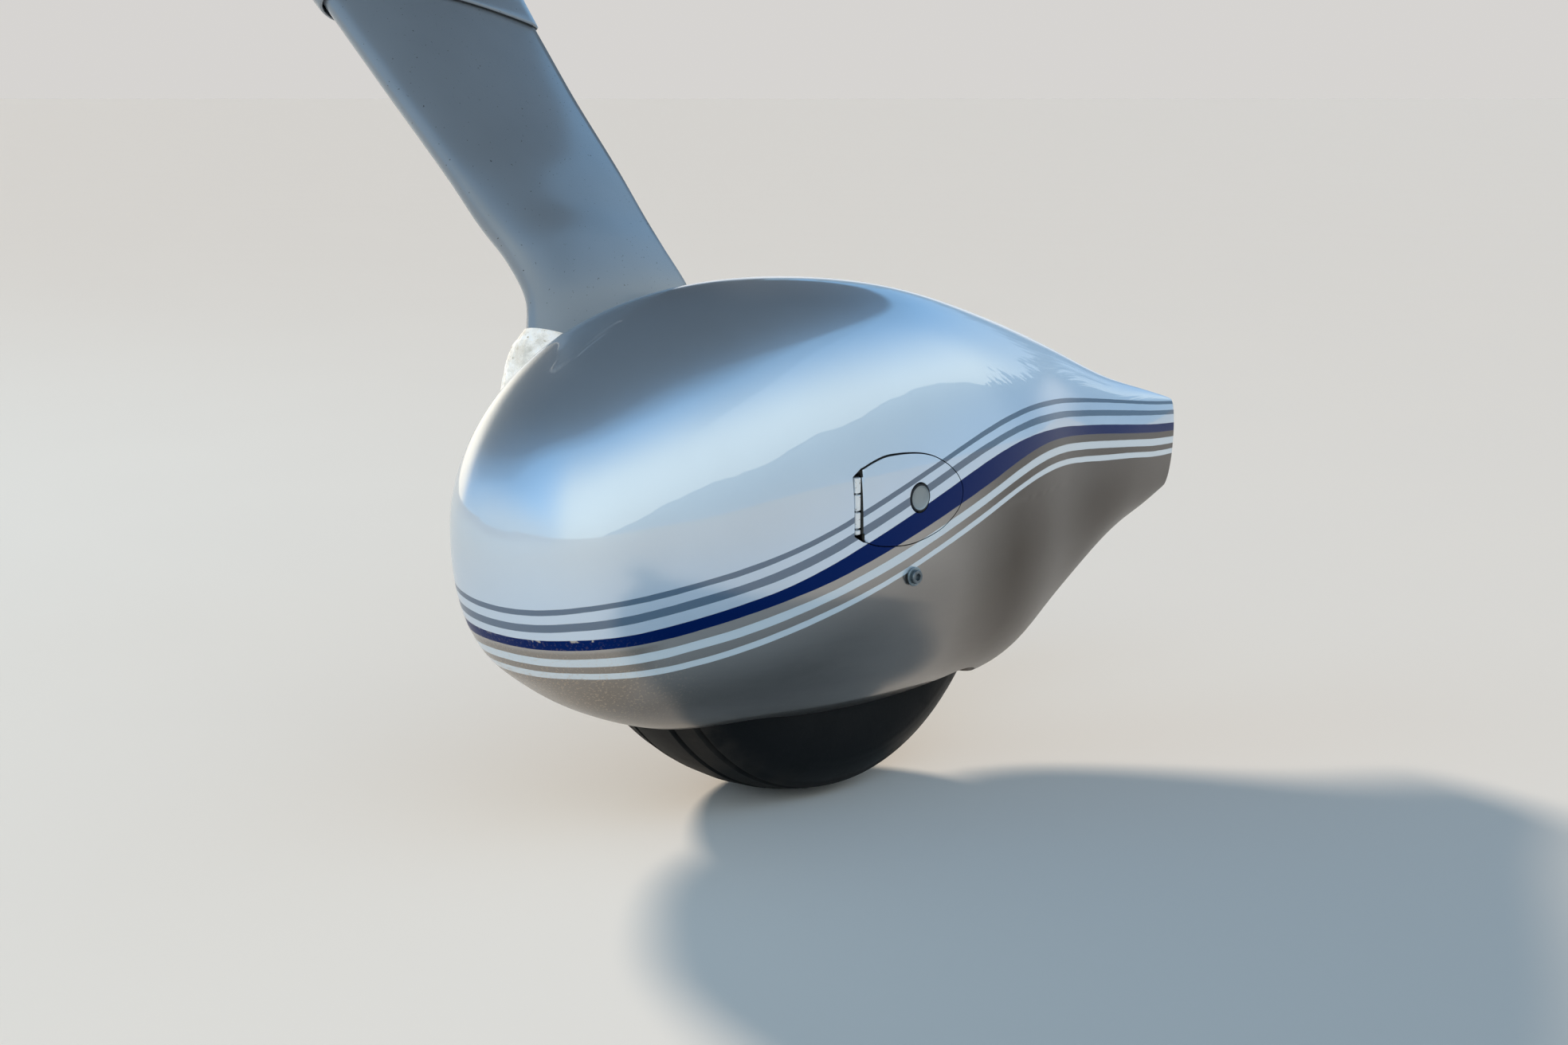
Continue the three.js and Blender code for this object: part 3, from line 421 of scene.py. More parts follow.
# materials
class Graph:
    """Shorthands for a node tree."""

    def __init__(self, tree, space):
        self.tree = tree
        self.coords = self.node("ShaderNodeTexCoord").outputs[space]

    def feed(self, socket, value):
        if isinstance(value, bpy.types.NodeSocket):
            self.tree.links.new(value, socket)
        else:
            socket.default_value = value

    def node(self, kind, inputs=None, **settings):
        made = self.tree.nodes.new(kind)
        for key, value in settings.items():
            setattr(made, key, value)
        for key, value in (inputs or {}).items():
            self.feed(made.inputs[key], value)
        return made

    def math(self, operation, a, b=0.0, c=0.0, clamp=False):
        inputs = {0: a, 1: b, 2: c}
        return self.node("ShaderNodeMath", inputs, operation=operation, use_clamp=clamp).outputs[0]

    def mul(self, a, b):
        return self.math("MULTIPLY", a, b)

    def add(self, a, b, clamp=False):
        return self.math("ADD", a, b, clamp=clamp)

    def less(self, a, b):
        return self.math("SUBTRACT", a, b)

    def split(self, vector):
        return self.node("ShaderNodeSeparateXYZ", {0: vector}).outputs

    def stretch(self, scale):
        return self.node("ShaderNodeMapping", {"Vector": self.coords, "Scale": scale}).outputs[0]

    def noise(self, scale, detail=3.0, roughness=0.55, vector=None):
        inputs = {"Vector": self.coords if vector is None else vector, "Scale": scale,
                  "Detail": detail, "Roughness": roughness}
        return self.node("ShaderNodeTexNoise", inputs).outputs["Fac"]

    def cells(self, scale):
        return self.node("ShaderNodeTexVoronoi", {"Vector": self.coords, "Scale": scale})

    def span(self, value, low, high, to_low=0.0, to_high=1.0, smooth=True):
        inputs = {"Value": value, "From Min": low, "From Max": high, "To Min": to_low,
                  "To Max": to_high}
        kind = "SMOOTHSTEP" if smooth else "LINEAR"
        return self.node("ShaderNodeMapRange", inputs, interpolation_type=kind).outputs["Result"]

    def mix(self, share, a, b):
        a, b = ((*v, 1.0) if isinstance(v, tuple) else v for v in (a, b))
        return self.node("ShaderNodeMix", {"Factor": share, 6: a, 7: b}, data_type="RGBA").outputs[2]

    def bump(self, height, distance):
        inputs = {"Distance": distance, "Height": height}
        return self.node("ShaderNodeBump", inputs).outputs["Normal"]

    def curve(self, value, points):
        made = self.node("ShaderNodeFloatCurve", {"Value": value})
        line = made.mapping.curves[0]
        made.mapping.use_clip = False
        for k, (x, y) in enumerate(points):
            if k < 2:
                line.points[k].location = (x, y)
            else:
                line.points.new(x, y)
        for point in line.points:
            point.handle_type = "AUTO"
        made.mapping.update()
        return made.outputs["Value"]

    def by_turn(self, turn, table):
        """Value along a table of (degrees, value), for values from -1 to 1."""
        points = [((d + 180) / 360, (v + 1) / 2) for d, v in table]
        return self.math("MULTIPLY_ADD", self.curve(turn, points), 2.0, -1.0)


class Finish(Graph):
    """A node material on the principled shader."""

    def __init__(self, name, colour, roughness=0.5, metallic=0.0, **sockets):
        self.material = bpy.data.materials.new(name)
        self.material.use_nodes = True
        super().__init__(self.material.node_tree, "Object")
        self.shader = self.tree.nodes["Principled BSDF"]
        self.put("Base Color", (*colour, 1.0))
        self.put("Roughness", roughness)
        self.put("Metallic", metallic)
        for key, value in sockets.items():
            self.put(key.replace("_", " "), value)

    def put(self, name, value):
        self.feed(self.shader.inputs[name], value)


SILVER = (0.60, 0.70, 0.80)
# bluer silver towards the stripes: a painted bluish reflection
SILVER_PAINTED_REFLECTION = (0.55, 0.71, 0.90)
PEWTER = (0.27, 0.255, 0.245)
STRIPE_GREY = (0.045, 0.105, 0.19)
STRIPE_PALE = (0.57, 0.68, 0.77)
NAVY = (0.0, 0.016, 0.12)
LEG_BLUE = (0.25, 0.28, 0.315)
TYRE_BLACK, GRIME = (0.004, 0.005, 0.006), (0.05, 0.045, 0.04)
STRIPE_TINTS = [(0, STRIPE_GREY), (2, STRIPE_GREY), (4, NAVY), (6, STRIPE_PALE), (8, STRIPE_PALE)]
# tints: the dark belly and aft are painted shade, the warm front a painted reflection of sunlit ground;
# haze is a random tone, sand the pitted nose
WEAR_AND_PAINTED_LIGHT = {"painted_shade_belly": (0.020, 0.019, 0.018), "front": (0.10, 0.075, 0.05), "painted_shade_aft": (0.032, 0.022, 0.014),
        "haze": (0.25, 0.25, 0.25), "sand": (0.42, 0.33, 0.24)}
PAINT_COAT = {"Coat_Weight": 1.0, "Coat_Roughness": 0.015, "Coat_IOR": 2.7,
              "Specular_IOR_Level": 0.12}
LEG_COAT = {"Coat_Weight": 1.0, "Coat_Roughness": 0.12, "Coat_IOR": 1.5, "Specular_IOR_Level": 0.3}
PEEL_DEPTH, FLAKE_DEPTH = 0.000008, 0.00002


def brighter(colour, times):
    return tuple(c * times for c in colour)


def paint_surface(f):
    """Metallic flake under a clear coat, with a faint orange peel."""
    f.put("Coat Normal", f.bump(f.noise(110.0, 1.0), PEEL_DEPTH))
    sparkle = f.split(f.cells(2600.0).outputs["Color"])[0]
    grit = f.noise(900.0, 2.0)
    f.put("Normal", f.bump(f.add(sparkle, grit), FLAKE_DEPTH))
    f.put("Roughness", f.span(f.noise(6.0, 3.0), 0.3, 0.7, 0.285, 0.335))


def about_hub(f):
    """Coordinates along and up, from the wheel centre."""
    _, y, z = f.split(f.coords)
    return f.less(y, HUB[1] * MM), f.less(z, HUB[2] * MM)


def stripe_edges(f, y, z):
    """Depth below each edge of the stripes, and a mask of what lies below it."""
    y0, y1 = STRIPES[0, 0] * MM, STRIPES[-1, 0] * MM
    along = f.math("DIVIDE", f.less(y, y0), y1 - y0, clamp=True)
    wobble = f.mul(f.less(f.noise(90.0, 2.0), 0.5), 0.0004)
    level = f.add(z, wobble)
    stations = (STRIPES[:, 0] - STRIPES[0, 0]) / (STRIPES[-1, 0] - STRIPES[0, 0])
    height = STRIPE_HIGH - STRIPE_LOW
    depth, under = [], []
    for column in STRIPES.T[1:]:
        points = list(zip(stations, (column - STRIPE_LOW) / height))
        edge = f.math("MULTIPLY_ADD", f.curve(along, points), height * MM, STRIPE_LOW * MM)
        depth.append(f.less(edge, level))
        under.append(f.math("MULTIPLY_ADD", depth[-1], STRIPE_SHARP, 0.5, clamp=True))
    return depth, under


def striped_paint(name):
    f = Finish(name, SILVER, 0.3, 0.75, **PAINT_COAT)
    y, z = about_hub(f)
    depth, under = stripe_edges(f, y, z)
    # the silver turns bluer towards the top stripe: painted reflection
    lower = f.span(depth[0], -0.05, 0.01)
    colour = f.mix(under[4], f.mix(lower, SILVER, SILVER_PAINTED_REFLECTION), PEWTER)
    # painted shade: the underside darkens below the navy stripe, more towards the front, broken up by
    # streaks
    painted_shade_belly = f.mul(f.span(depth[4], 0.0, 0.075), f.span(y, 0.06, -0.12, 0.50, 0.80))
    streaks = f.span(f.noise(9.0, 5.0, 0.6, f.stretch((1, 0.5, 2))), 0.25, 0.7, 0.75, 1.0)
    colour = f.mix(f.mul(painted_shade_belly, streaks), colour, WEAR_AND_PAINTED_LIGHT["painted_shade_belly"])
    # painted reflection: the lower nose below the navy turns the warm brown of sunlit ground
    front = f.mul(f.span(y, -0.212, -0.235), f.span(depth[5], 0.0, 0.004))
    colour = f.mix(f.mul(front, 0.85), colour, WEAR_AND_PAINTED_LIGHT["front"])
    # painted shade: the tail's underside below the navy darkens, most below the lowest stripe
    painted_shade_aft = f.mul(f.span(y, -0.02, 0.16), under[5])
    colour = f.mix(f.mul(painted_shade_aft, f.span(depth[9], 0.0, 0.06, 0.60, 0.97)), colour, WEAR_AND_PAINTED_LIGHT["painted_shade_aft"])
    colour = f.mix(f.span(f.noise(3.5, 4.0), 0.35, 0.7, 0.0, 0.12), colour, WEAR_AND_PAINTED_LIGHT["haze"])
    chips = f.span(f.noise(160.0, 2.0, vector=f.stretch((1, 1, 0.1))), 0.60, 0.64)
    chipped = f.mul(chips, f.mul(f.span(y, -0.240, -0.250), f.span(y, -0.286, -0.278)))
    rim = f.mul(chipped, f.span(depth[4], 0.0022, 0.0012))
    dull = grey = 0.0
    for k, tint in STRIPE_TINTS:
        band = f.mul(under[k], f.less(1.0, under[k + 1]))
        if tint is NAVY:
            band = navy = f.mul(band, f.less(1.0, rim))
        else:
            dull = f.add(dull, band, clamp=True)
        if tint is STRIPE_GREY:
            grey = f.add(grey, band, clamp=True)
        colour = f.mix(band, colour, tint)
    sand = f.mul(f.span(y, -0.17, -0.27), f.span(z, -0.01, -0.07))
    pits = f.mul(sand, f.span(f.noise(520.0, 2.0), 0.56, 0.64))
    f.put("Base Color", f.mix(f.mul(pits, 0.7), colour, WEAR_AND_PAINTED_LIGHT["sand"]))
    f.put("Metallic", f.span(dull, 0.0, 1.0, 0.80, 0.15, smooth=False))
    paint_surface(f)
    # the painted shade areas also lose most of their clear coat, which dims their reflections
    painted_shade_matt = f.math("MAXIMUM", f.mul(painted_shade_belly, 0.8), f.mul(painted_shade_aft, 0.95))
    painted_shade_matt = f.mul(painted_shade_matt, f.less(1.0, dull))
    matt = f.add(f.math("MULTIPLY_ADD", grey, 0.4, navy), painted_shade_matt, clamp=True)
    f.put("Coat Weight", f.less(1.0, f.math("MAXIMUM", matt, f.mul(pits, 0.8))))
    return f.material


def plain_paint(name, colour, speck=0.66, metallic=0.75, coat=PAINT_COAT):
    f = Finish(name, colour, 0.3, metallic, **coat)
    base = f.mix(f.span(f.noise(3.0, 4.0), 0.35, 0.7), colour, brighter(colour, 0.8))
    specks = f.span(f.noise(380.0, 2.0), speck, speck + 0.05)
    f.put("Base Color", f.mix(specks, base, (0.06, 0.06, 0.06)))
    paint_surface(f)
    return f.material


def metal(name, colour, roughness, brushed=(1, 1, 1), grime=GRIME, dirt=0.5):
    """Bare or plated metal with fine tool marks, dirt in patches and small pits."""
    f = Finish(name, colour, roughness, 0.95)
    marks = f.noise(300.0, 3.0, vector=f.stretch(brushed))
    patches = f.span(f.noise(45.0, 5.0, 0.65), 0.45, 0.75)
    f.put("Base Color", f.mix(f.mul(patches, dirt), colour, grime))
    tooled = f.span(marks, 0.2, 0.8, roughness - 0.06, roughness + 0.08)
    f.put("Roughness", f.add(tooled, f.mul(patches, 0.25)))
    f.put("Metallic", f.less(0.95, f.mul(patches, 0.5)))
    f.put("Normal", f.bump(f.add(marks, f.noise(1200.0, 2.0)), 0.00003))
    return f.material


def rubber(name, dust=0.35):
    f = Finish(name, TYRE_BLACK, 0.55, 0.0, Specular_IOR_Level=0.12)
    y, z = about_hub(f)
    radius = f.math("SQRT", f.add(f.mul(y, y), f.mul(z, z)))
    tread = f.span(radius, 0.160, 0.176)
    patches = f.span(f.noise(28.0, 5.0, 0.6), 0.42, 0.7)
    grains = f.span(f.noise(900.0, 3.0), 0.5, 0.75)
    share = f.mul(f.mul(patches, tread), dust)
    share = f.add(share, f.mul(grains, 0.06), clamp=True)
    f.put("Base Color", f.mix(share, TYRE_BLACK, GRIME))
    f.put("Roughness", f.span(f.add(patches, tread), 0.0, 2.0, 0.42, 0.72))
    fine = f.mul(f.noise(1400.0, 3.0), 0.6)
    scuffs = f.noise(260.0, 4.0, 0.7)
    f.put("Normal", f.bump(f.add(fine, scuffs), 0.00012))
    return f.material


def woven(name, colour):
    """Cured cloth laminate, satin, with the weave showing through."""
    f = Finish(name, colour, 0.5, 0.0, Specular_IOR_Level=0.4)
    _, y, z = f.split(f.coords)
    waves = [f.math("SINE", f.mul(axis, 2200.0)) for axis in (y, z)]
    weave = f.mul(waves[0], waves[1])
    tone = f.span(f.noise(12.0, 5.0), 0.3, 0.7, 0.0, 0.5)
    lit = f.mix(tone, colour, brighter(colour, 1.7))
    f.put("Base Color", f.mix(f.span(weave, -1.0, 1.0, 0.0, 0.25), lit, brighter(colour, 2.2)))
    f.put("Roughness", f.span(f.noise(60.0, 3.0), 0.3, 0.7, 0.42, 0.62))
    f.put("Normal", f.bump(weave, 0.00012))
    return f.material


def film_finish(name):
    """Milky clear film, creased and speckled with trapped dirt, and glowing faintly as painted
    backlight.
    """
    # the warm emission is a painted glow, standing in for the sun shining through the film
    f = Finish(name, (0.72, 0.69, 0.62), 0.32, 0.0, Specular_IOR_Level=0.6,
               Emission_Strength=0.28, Emission_Color=(1.0, 0.93, 0.82, 1.0))
    creases = f.noise(55.0, 5.0, 0.7)
    clouds = f.span(creases, 0.38, 0.66)
    debris = f.span(f.noise(170.0, 4.0, 0.6), 0.62, 0.68)
    milky = f.mix(clouds, (0.80, 0.77, 0.70), (0.95, 0.94, 0.92))
    f.put("Base Color", f.mix(debris, milky, (0.20, 0.18, 0.10)))
    cover = f.span(creases, 0.35, 0.65, 0.45, 0.90)
    f.put("Alpha", f.add(cover, f.mul(debris, 0.4), clamp=True))
    f.put("Roughness", f.span(creases, 0.3, 0.7, 0.22, 0.5))
    f.put("Normal", f.bump(f.noise(120.0, 4.0, 0.7), 0.0008))
    return f.material


def matte(name, colour, roughness, grain=400.0, depth=0.0001):
    f = Finish(name, colour, roughness, 0.0)
    tone = f.noise(grain * 0.1, 4.0)
    f.put("Base Color", f.mix(f.span(tone, 0.3, 0.7), colour, brighter(colour, 1.5)))
    grains = f.noise(grain * 0.3, 3.0)
    f.put("Roughness", f.span(grains, 0.3, 0.7, roughness - 0.08, roughness + 0.08))
    f.put("Normal", f.bump(f.noise(grain, 3.0), depth))
    return f.material


PAINT = striped_paint("striped_silver_paint")
PAINT_LEG = plain_paint("leg_paint", LEG_BLUE, 0.70, 0.2, LEG_COAT)
INSIDE = woven("laminate_inside", (0.055, 0.052, 0.045))
STRUT_SKIN = woven("strut_laminate", (0.028, 0.028, 0.027))
STEEL = metal("steel", (0.46, 0.47, 0.49), 0.32, (1, 12, 1))
ZINC = metal("zinc_plate", (0.50, 0.47, 0.36), 0.36)
ALLOY = metal("alloy", (0.60, 0.61, 0.62), 0.34, (8, 1, 1), dirt=0.35)
IRON = metal("disc_iron", (0.30, 0.28, 0.26), 0.42, (1, 1, 1), (0.10, 0.045, 0.02), 0.6)
GRIMY = metal("grimy_steel", (0.20, 0.24, 0.27), 0.32, dirt=0.9)
DULL_STEEL = metal("dull_steel", (0.27, 0.34, 0.38), 0.38, dirt=0.8)
LINING = matte("brake_lining", (0.05, 0.042, 0.036), 0.85, 900.0, 0.0003)
RUBBER = rubber("tyre_rubber")
HOSE = matte("hose_rubber", (0.014, 0.014, 0.015), 0.55, 500.0)
FILM = film_finish("milky_film")
LATCH_FINISH = metal("latch_cadmium", (0.32, 0.36, 0.38), 0.45, (1, 1, 20), dirt=0.3)
# whiter than the fairing's silver: a painted highlight on the hinge knuckles
KNUCKLE_HIGHLIGHT_PAINT = plain_paint("knuckle_highlight_paint", (0.85, 0.90, 0.94), metallic=0.3)
# near-black matte put in the door gap, on the latch rim and behind the hinge knuckles: painted shade
PAINTED_SHADE = matte("painted_shade_dark", (0.012, 0.014, 0.018), 0.8)


# wheel fairing
def even_angles(count):
    """Angles round the widest section, at equal steps along its outline."""
    v = np.linspace(0, 2 * np.pi, 20001)
    run = run_along(spat_point(5.0, v))
    return np.interp(np.linspace(0, run[-1], count, endpoint=False), run, v)


def spat_body(name, offset, around, steps, u_end, slots, face_slot=0):
    """Closed skin at an offset from the fairing's surface, as far as station u_end."""
    v = even_angles(around)
    u = u_end * (np.arange(1, steps + 1) / steps) ** 1.15
    uu, vv = np.meshgrid(u, v, indexing="ij")
    rings = spat_point(uu, vv) + spat_normal(uu, vv) * offset
    nose = spat_point(0.0, 0.0) + np.array([0, -offset, 0])
    verts = np.vstack([nose[None], rings.reshape(-1, 3)])
    faces = [(0, 1 + j, 1 + (j + 1) % around) for j in range(around)]
    for i in range(steps - 1):
        a, b = 1 + i * around, 1 + (i + 1) * around
        for j in range(around):
            k = (j + 1) % around
            faces.append((a + j, b + j, b + k, a + k))
    last = 1 + (steps - 1) * around
    faces.append(tuple(last + j for j in reversed(range(around))))
    return new_object(name, verts, faces, slots, face_slot)


def skin_level(p):
    """How far out a point lies: below 0 inside the fairing, 0 on its surface."""
    x, y, z = p.T
    base = y
    for _ in range(3):
        base = y + tail_drop(np.interp(base, Y_TABLE, U_TABLE), z)
    half, top, low, beam, over, below = (np.interp(base, Y_TABLE, S_TABLE[:, k]) for k in range(1, 7))
    above = z >= beam
    power = np.where(above, over, below)
    rise = np.where(above, top - beam, beam - low)
    return np.abs(x / half) ** power + np.abs((z - beam) / rise) ** power - 1


NOSE_END = -287.0
NORMAL_RANGE = (-289.0, 490.0)
NORMAL_STEPS = (0.3, 0.8, 0.3)


def skin_normal(p):
    p = p.copy()
    p[:, 1] = np.clip(p[:, 1], *NORMAL_RANGE)
    n = np.stack([skin_level(p + step) - skin_level(p - step) for step in np.diag(NORMAL_STEPS)], -1)
    return unit(n / np.array(NORMAL_STEPS))


SKIN_BAND, TINY_FACE = 0.02, 2e-7


def read(items, key, width=1, kind=np.float32):
    values = np.zeros(len(items) * width, kind)
    items.foreach_get(key, values)
    return values.reshape(-1, width) if width > 1 else values


def true_normals(obj, face_slot=0, angle=30.0):
    """Gives the outer skin the surface's own normals, so cuts leave no ripple in the gloss."""
    mesh = obj.data
    shade(obj, angle)
    vertex = read(mesh.loops, "vertex_index", kind=np.int32)
    total = read(mesh.polygons, "loop_total", kind=np.int32)
    slot = read(mesh.polygons, "material_index", kind=np.int32)
    places = read(mesh.vertices, "co", 3).astype(float) / MM - HUB
    skin = np.abs(skin_level(places)) < SKIN_BAND
    n = skin_normal(places)[vertex]
    facing = np.repeat(read(mesh.polygons, "normal", 3), total, axis=0)
    tiny = np.repeat(read(mesh.polygons, "area") < TINY_FACE, total)
    chosen = np.repeat(slot == face_slot, total) & skin[vertex]
    chosen &= ((n * facing).sum(1) > 0.5) | tiny
    chosen &= places[vertex, 1] > NOSE_END
    custom = np.where(chosen[:, None], n, 0.0)
    mesh.normals_split_custom_set(custom.tolist())


def smooth_loop(points, per_side):
    """Points of a smooth open curve through the given ones."""
    p = np.asarray(points, float)
    p = np.vstack([2 * p[0] - p[1], p, 2 * p[-1] - p[-2]])
    t = np.linspace(0, 1, per_side, endpoint=False)[:, None]
    return np.vstack([cubic(*p[i:i + 4], t) for i in range(len(p) - 3)] + [p[-2]])


def shrunk(loop, by):
    """A closed outline moved inwards by a distance."""
    loop = np.asarray(loop)
    ahead = unit(np.roll(loop, -1, 0) - np.roll(loop, 1, 0))
    side = np.stack([ahead[:, 1], -ahead[:, 0]], -1)
    centre = loop.mean(0)
    if ((loop - centre) * side).sum() < 0:
        side = -side
    return loop - side * by


DOOR_CURVE = smooth_loop(DOOR_OUTLINE, 12)
INNER_END = 10.0
OPENING = {"half": 85.5, "reach": 172.0, "corner": 75.0}
SLOT = {"width": 86, "thick": 27, "centre": -100, "corner": 8}
SIDE_CUT, BOLT_CUT, SCREW_CUT = (100, 150), (110, 150), (-150, -110)
BOLT_HOLE_R, SCREW_HOLE_R = 4.4, 2.8


def rounded(half_a, half_b, r, steps):
    """Closed outline of a rectangle with round corners."""
    loop = []
    for side, end, start in ((1, 1, 0), (-1, 1, 90), (-1, -1, 180), (1, -1, 270)):
        for a in np.radians(np.linspace(start, start + 90, steps)):
            loop.append((side * (half_a - r) + r * math.cos(a), end * (half_b - r) + r * math.sin(a)))
    return np.array(loop)


def opening_tool():
    """Upright prism over the wheel opening's plan."""
    loop = rounded(OPENING["half"], OPENING["reach"], OPENING["corner"], 24)
    return solid("opening_tool", [np.insert(loop, 2, z, axis=1) for z in (-150, -45)])


def bar_ring(z, width, thick, centre, corner):
    at, side = leg_frame(z)
    return np.array([at + side * t + np.array([0, centre + y, 0])
                     for y, t in rounded(width / 2, thick / 2, corner, 6)])


def make_fairing():
    shell = spat_body("wheel_fairing_shell", 0.0, 184, 190, U_END, [PAINT, INSIDE])
    inner = spat_body("inner_tool", -WALL, 96, 90, INNER_END, [PAINT, INSIDE], 1)
    leg_slot = solid("slot_tool", [bar_ring(z, **SLOT) for z in (113, 140, 165, 181, 205, 240)])
    strip_y = HINGE_Y - STRIP_FRONT
    strip = [(strip_y, HINGE_LOW - STRIP_MARGIN), (-54.0, 32.6), (-50.0, 34.0), (-50.0, 87.0),
             (-54.0, 87.6), (strip_y, HINGE_HIGH + STRIP_MARGIN)]
    tools = [inner, opening_tool(), leg_slot,
             prism("door_tool", DOOR_CURVE, *SIDE_CUT), prism("strip_tool", strip, *SIDE_CUT),
             rod("bolt_tool", BOLT_HOLE_R, *BOLT_CUT, 0, 0)]
    tools += [rod("screw_tool", SCREW_HOLE_R, *SCREW_CUT, y, z, 24) for y, z in SCREWS]
    carve(shell, *tools)
    true_normals(shell)
    finish_piece(shell, "gear", "silver_paint", "wheel_fairing")


LEDGE = {"inside": 7.0, "beyond": 9.0, "front": 0.4, "back": 2.0, "open ends": 14}


def make_landing():
    """Joggled ledge behind the door's edge, near-black as painted shade in the door gap."""
    keep = slice(LEDGE["open ends"], -LEDGE["open ends"])
    hole, rim = (shrunk(DOOR_CURVE, by)[keep] for by in (LEDGE["inside"], -LEDGE["beyond"]))
    rings = []
    for a, b in zip(hole, rim):
        line = np.linspace(a, b, 7)
        rings.append(np.vstack([on_side(*line.T, -WALL - LEDGE["front"]),
                                on_side(*line[::-1].T, -WALL - LEDGE["back"])]))
    obj = shade(solid("door_landing", rings, [PAINTED_SHADE]))
    finish_piece(obj, "gear", "silver_paint")


def make_door():
    gap, wide = DOOR_GAP
    y, z = DOOR_CURVE.T
    near_top = np.clip((z - 60) / 25, 0, 1) * np.clip((30 - y) / 50, 0, 1)
    edge = shrunk(DOOR_CURVE, (gap + (wide - gap) * near_top)[:, None])
    corner, beside = DOOR_FRONT["corner"], DOOR_FRONT["beside"]
    low, high = HINGE_LOW + DOOR_FRONT["margin"], HINGE_HIGH - DOOR_FRONT["margin"]
    front = [(corner, DOOR_FRONT["low"]), (corner, low), (beside, low), (beside, high),
             (corner, high), (corner, DOOR_FRONT["high"])]
    edge = np.vstack([edge[edge[:, 0] > corner], front])
    centre = np.array([LATCH_Y, LATCH_Z])
    closed = np.vstack([edge, edge[:1]])
    run = run_along(closed)
    t = np.linspace(0, run[-1], 400, endpoint=False)
    rim = np.stack([np.interp(t, run, column) for column in closed.T], -1)
    hub = centre + unit(rim - centre) * (LATCH_R + LATCH_GAP)
    shares = [0, 0.01, *np.linspace(0.05, 0.95, 16), 0.992, 1.0]
    sink = [0.35, 0.0] + [0.0] * 16 + [0.0, 0.3]
    back = [(share, WALL) for share in (1.0, 0.97, 0.5, 0.03, 0.0)]
    rings = [on_side(*(hub + (rim - hub) * share).T, -depth)
             for share, depth in [*zip(shares, sink), *back]]
    slots = [int(i >= len(shares) - 1) for i in range(len(rings)) for _ in range(len(rim))]
    obj = shade(solid("access_door_panel", rings, [PAINT, INSIDE], slots, closed_loop=True), 40)
    finish_piece(obj, "door", "silver_paint", "access_door")


def make_latch():
    """Shallow dish with a dark rim outside its second step; the rim is near-black as painted shade in
    the gap round it.
    """
    around = 72
    profile = [(133.0, 7.6), (133.25, 8.5), (133.75, 9.2), (133.85, 9.9),
               (133.5, LATCH_R - 0.1), (132.8, LATCH_R), (126.0, LATCH_R)]
    slots = [0] * (2 * around) + [1] * (4 * around) + [0, 0]
    rings = turned(profile, around, (LATCH_Y, LATCH_Z))
    disc = shade(solid("door_latch_disc", rings, [LATCH_FINISH, PAINTED_SHADE], slots), 40)
    finish_piece(disc, "door", "zinc_hardware", "door_latch")


def knuckle_rings(low, high, around=40):
    a = 2 * np.pi * np.arange(around) / around
    inset = HINGE_R - KNUCKLE_BEVEL
    profile = [(PIN_R, low), (inset, low), (HINGE_R, low + KNUCKLE_BEVEL),
               (HINGE_R, high - KNUCKLE_BEVEL), (inset, high), (PIN_R, high)]
    return [np.stack([HINGE_X + r * np.cos(a), HINGE_Y + r * np.sin(a), np.full(around, z)], -1)
            for r, z in profile]


def make_hinge():
    """Knuckles with rounded ends round the pin, and the leaves behind them."""
    for part, body, side in (("fixed", "gear", -1), ("door", "door", 1)):
        verts, faces = [], []
        web = sorted(HINGE_Y + side * reach for reach in WEB_REACH)
        leaf = sorted(HINGE_Y + side * reach for reach in LEAF_REACH)
        for _, low, high in [k for k in KNUCKLES if k[0] == part]:
            low, high = low + KNUCKLE_GAP, high - KNUCKLE_GAP
            v, f = tube(knuckle_rings(low, high), closed_loop=True)
            base = len(verts)
            verts += v.tolist()
            faces += [tuple(i + base for i in face) for face in f]
            verts, faces = add_block(verts, faces, WEB_X, web, (low, high))
        verts, faces = add_block(verts, faces, LEAF_X, leaf, (HINGE_LOW, HINGE_HIGH))
        # faces lying wholly behind the knuckles' outer half get the near-black painted shade
        slots = [int(max(verts[i][0] for i in face) < PAINTED_SHADE_BEHIND) for face in faces]
        obj = new_object(f"hinge_{part}_knuckles", verts, faces, [KNUCKLE_HIGHLIGHT_PAINT, PAINTED_SHADE], slots)
        shade(obj)
        finish_piece(obj, body, "steel", f"hinge_{part}_leaf")


def add_block(verts, faces, xs, ys, zs):
    base = len(verts)
    verts = verts + [[x, y, z] for x in xs for y in ys for z in zs]
    quads = [(0, 1, 3, 2), (4, 6, 7, 5), (0, 4, 5, 1), (2, 3, 7, 6), (0, 2, 6, 4), (1, 5, 7, 3)]
    return verts, faces + [tuple(base + i for i in q) for q in quads]


# leg
def make_leg_fairing():
    around = 128
    heights = np.concatenate([np.linspace(112, 240, 55), np.linspace(244, 452, 44)])
    outer = []
    for z in heights:
        ring = foil_ring(z, 0.0, around)
        above = ring[:, 2] - top_height(ring[:, 0], ring[:, 1])
        foot = FOOT_FLARE * np.exp(-np.clip(above, 0, None) / FOOT_FADE)
        grown = foil_ring(z, 1.0, around) - ring
        outer.append(ring + grown * foot[:, None])
    shell = solid("leg_fairing_shell", outer, [PAINT_LEG, INSIDE])
    inner_heights = np.concatenate([np.linspace(114.5, 240, 25), np.linspace(250, 462, 20)])
    inner_rings = [foil_ring(z, -LEG_WALL, 64, end=0.93) for z in inner_heights]
    inner = solid("inner_tool", inner_rings, [PAINT_LEG, INSIDE], 1)
    clear = spat_body("spat_tool", 0.6, 128, 120, U_END, [PAINT_LEG, INSIDE], 1)
    carve(shell, inner, clear)
    shade(shell, 40)
    finish_piece(shell, "gear", "leg_paint", "leg_fairing")


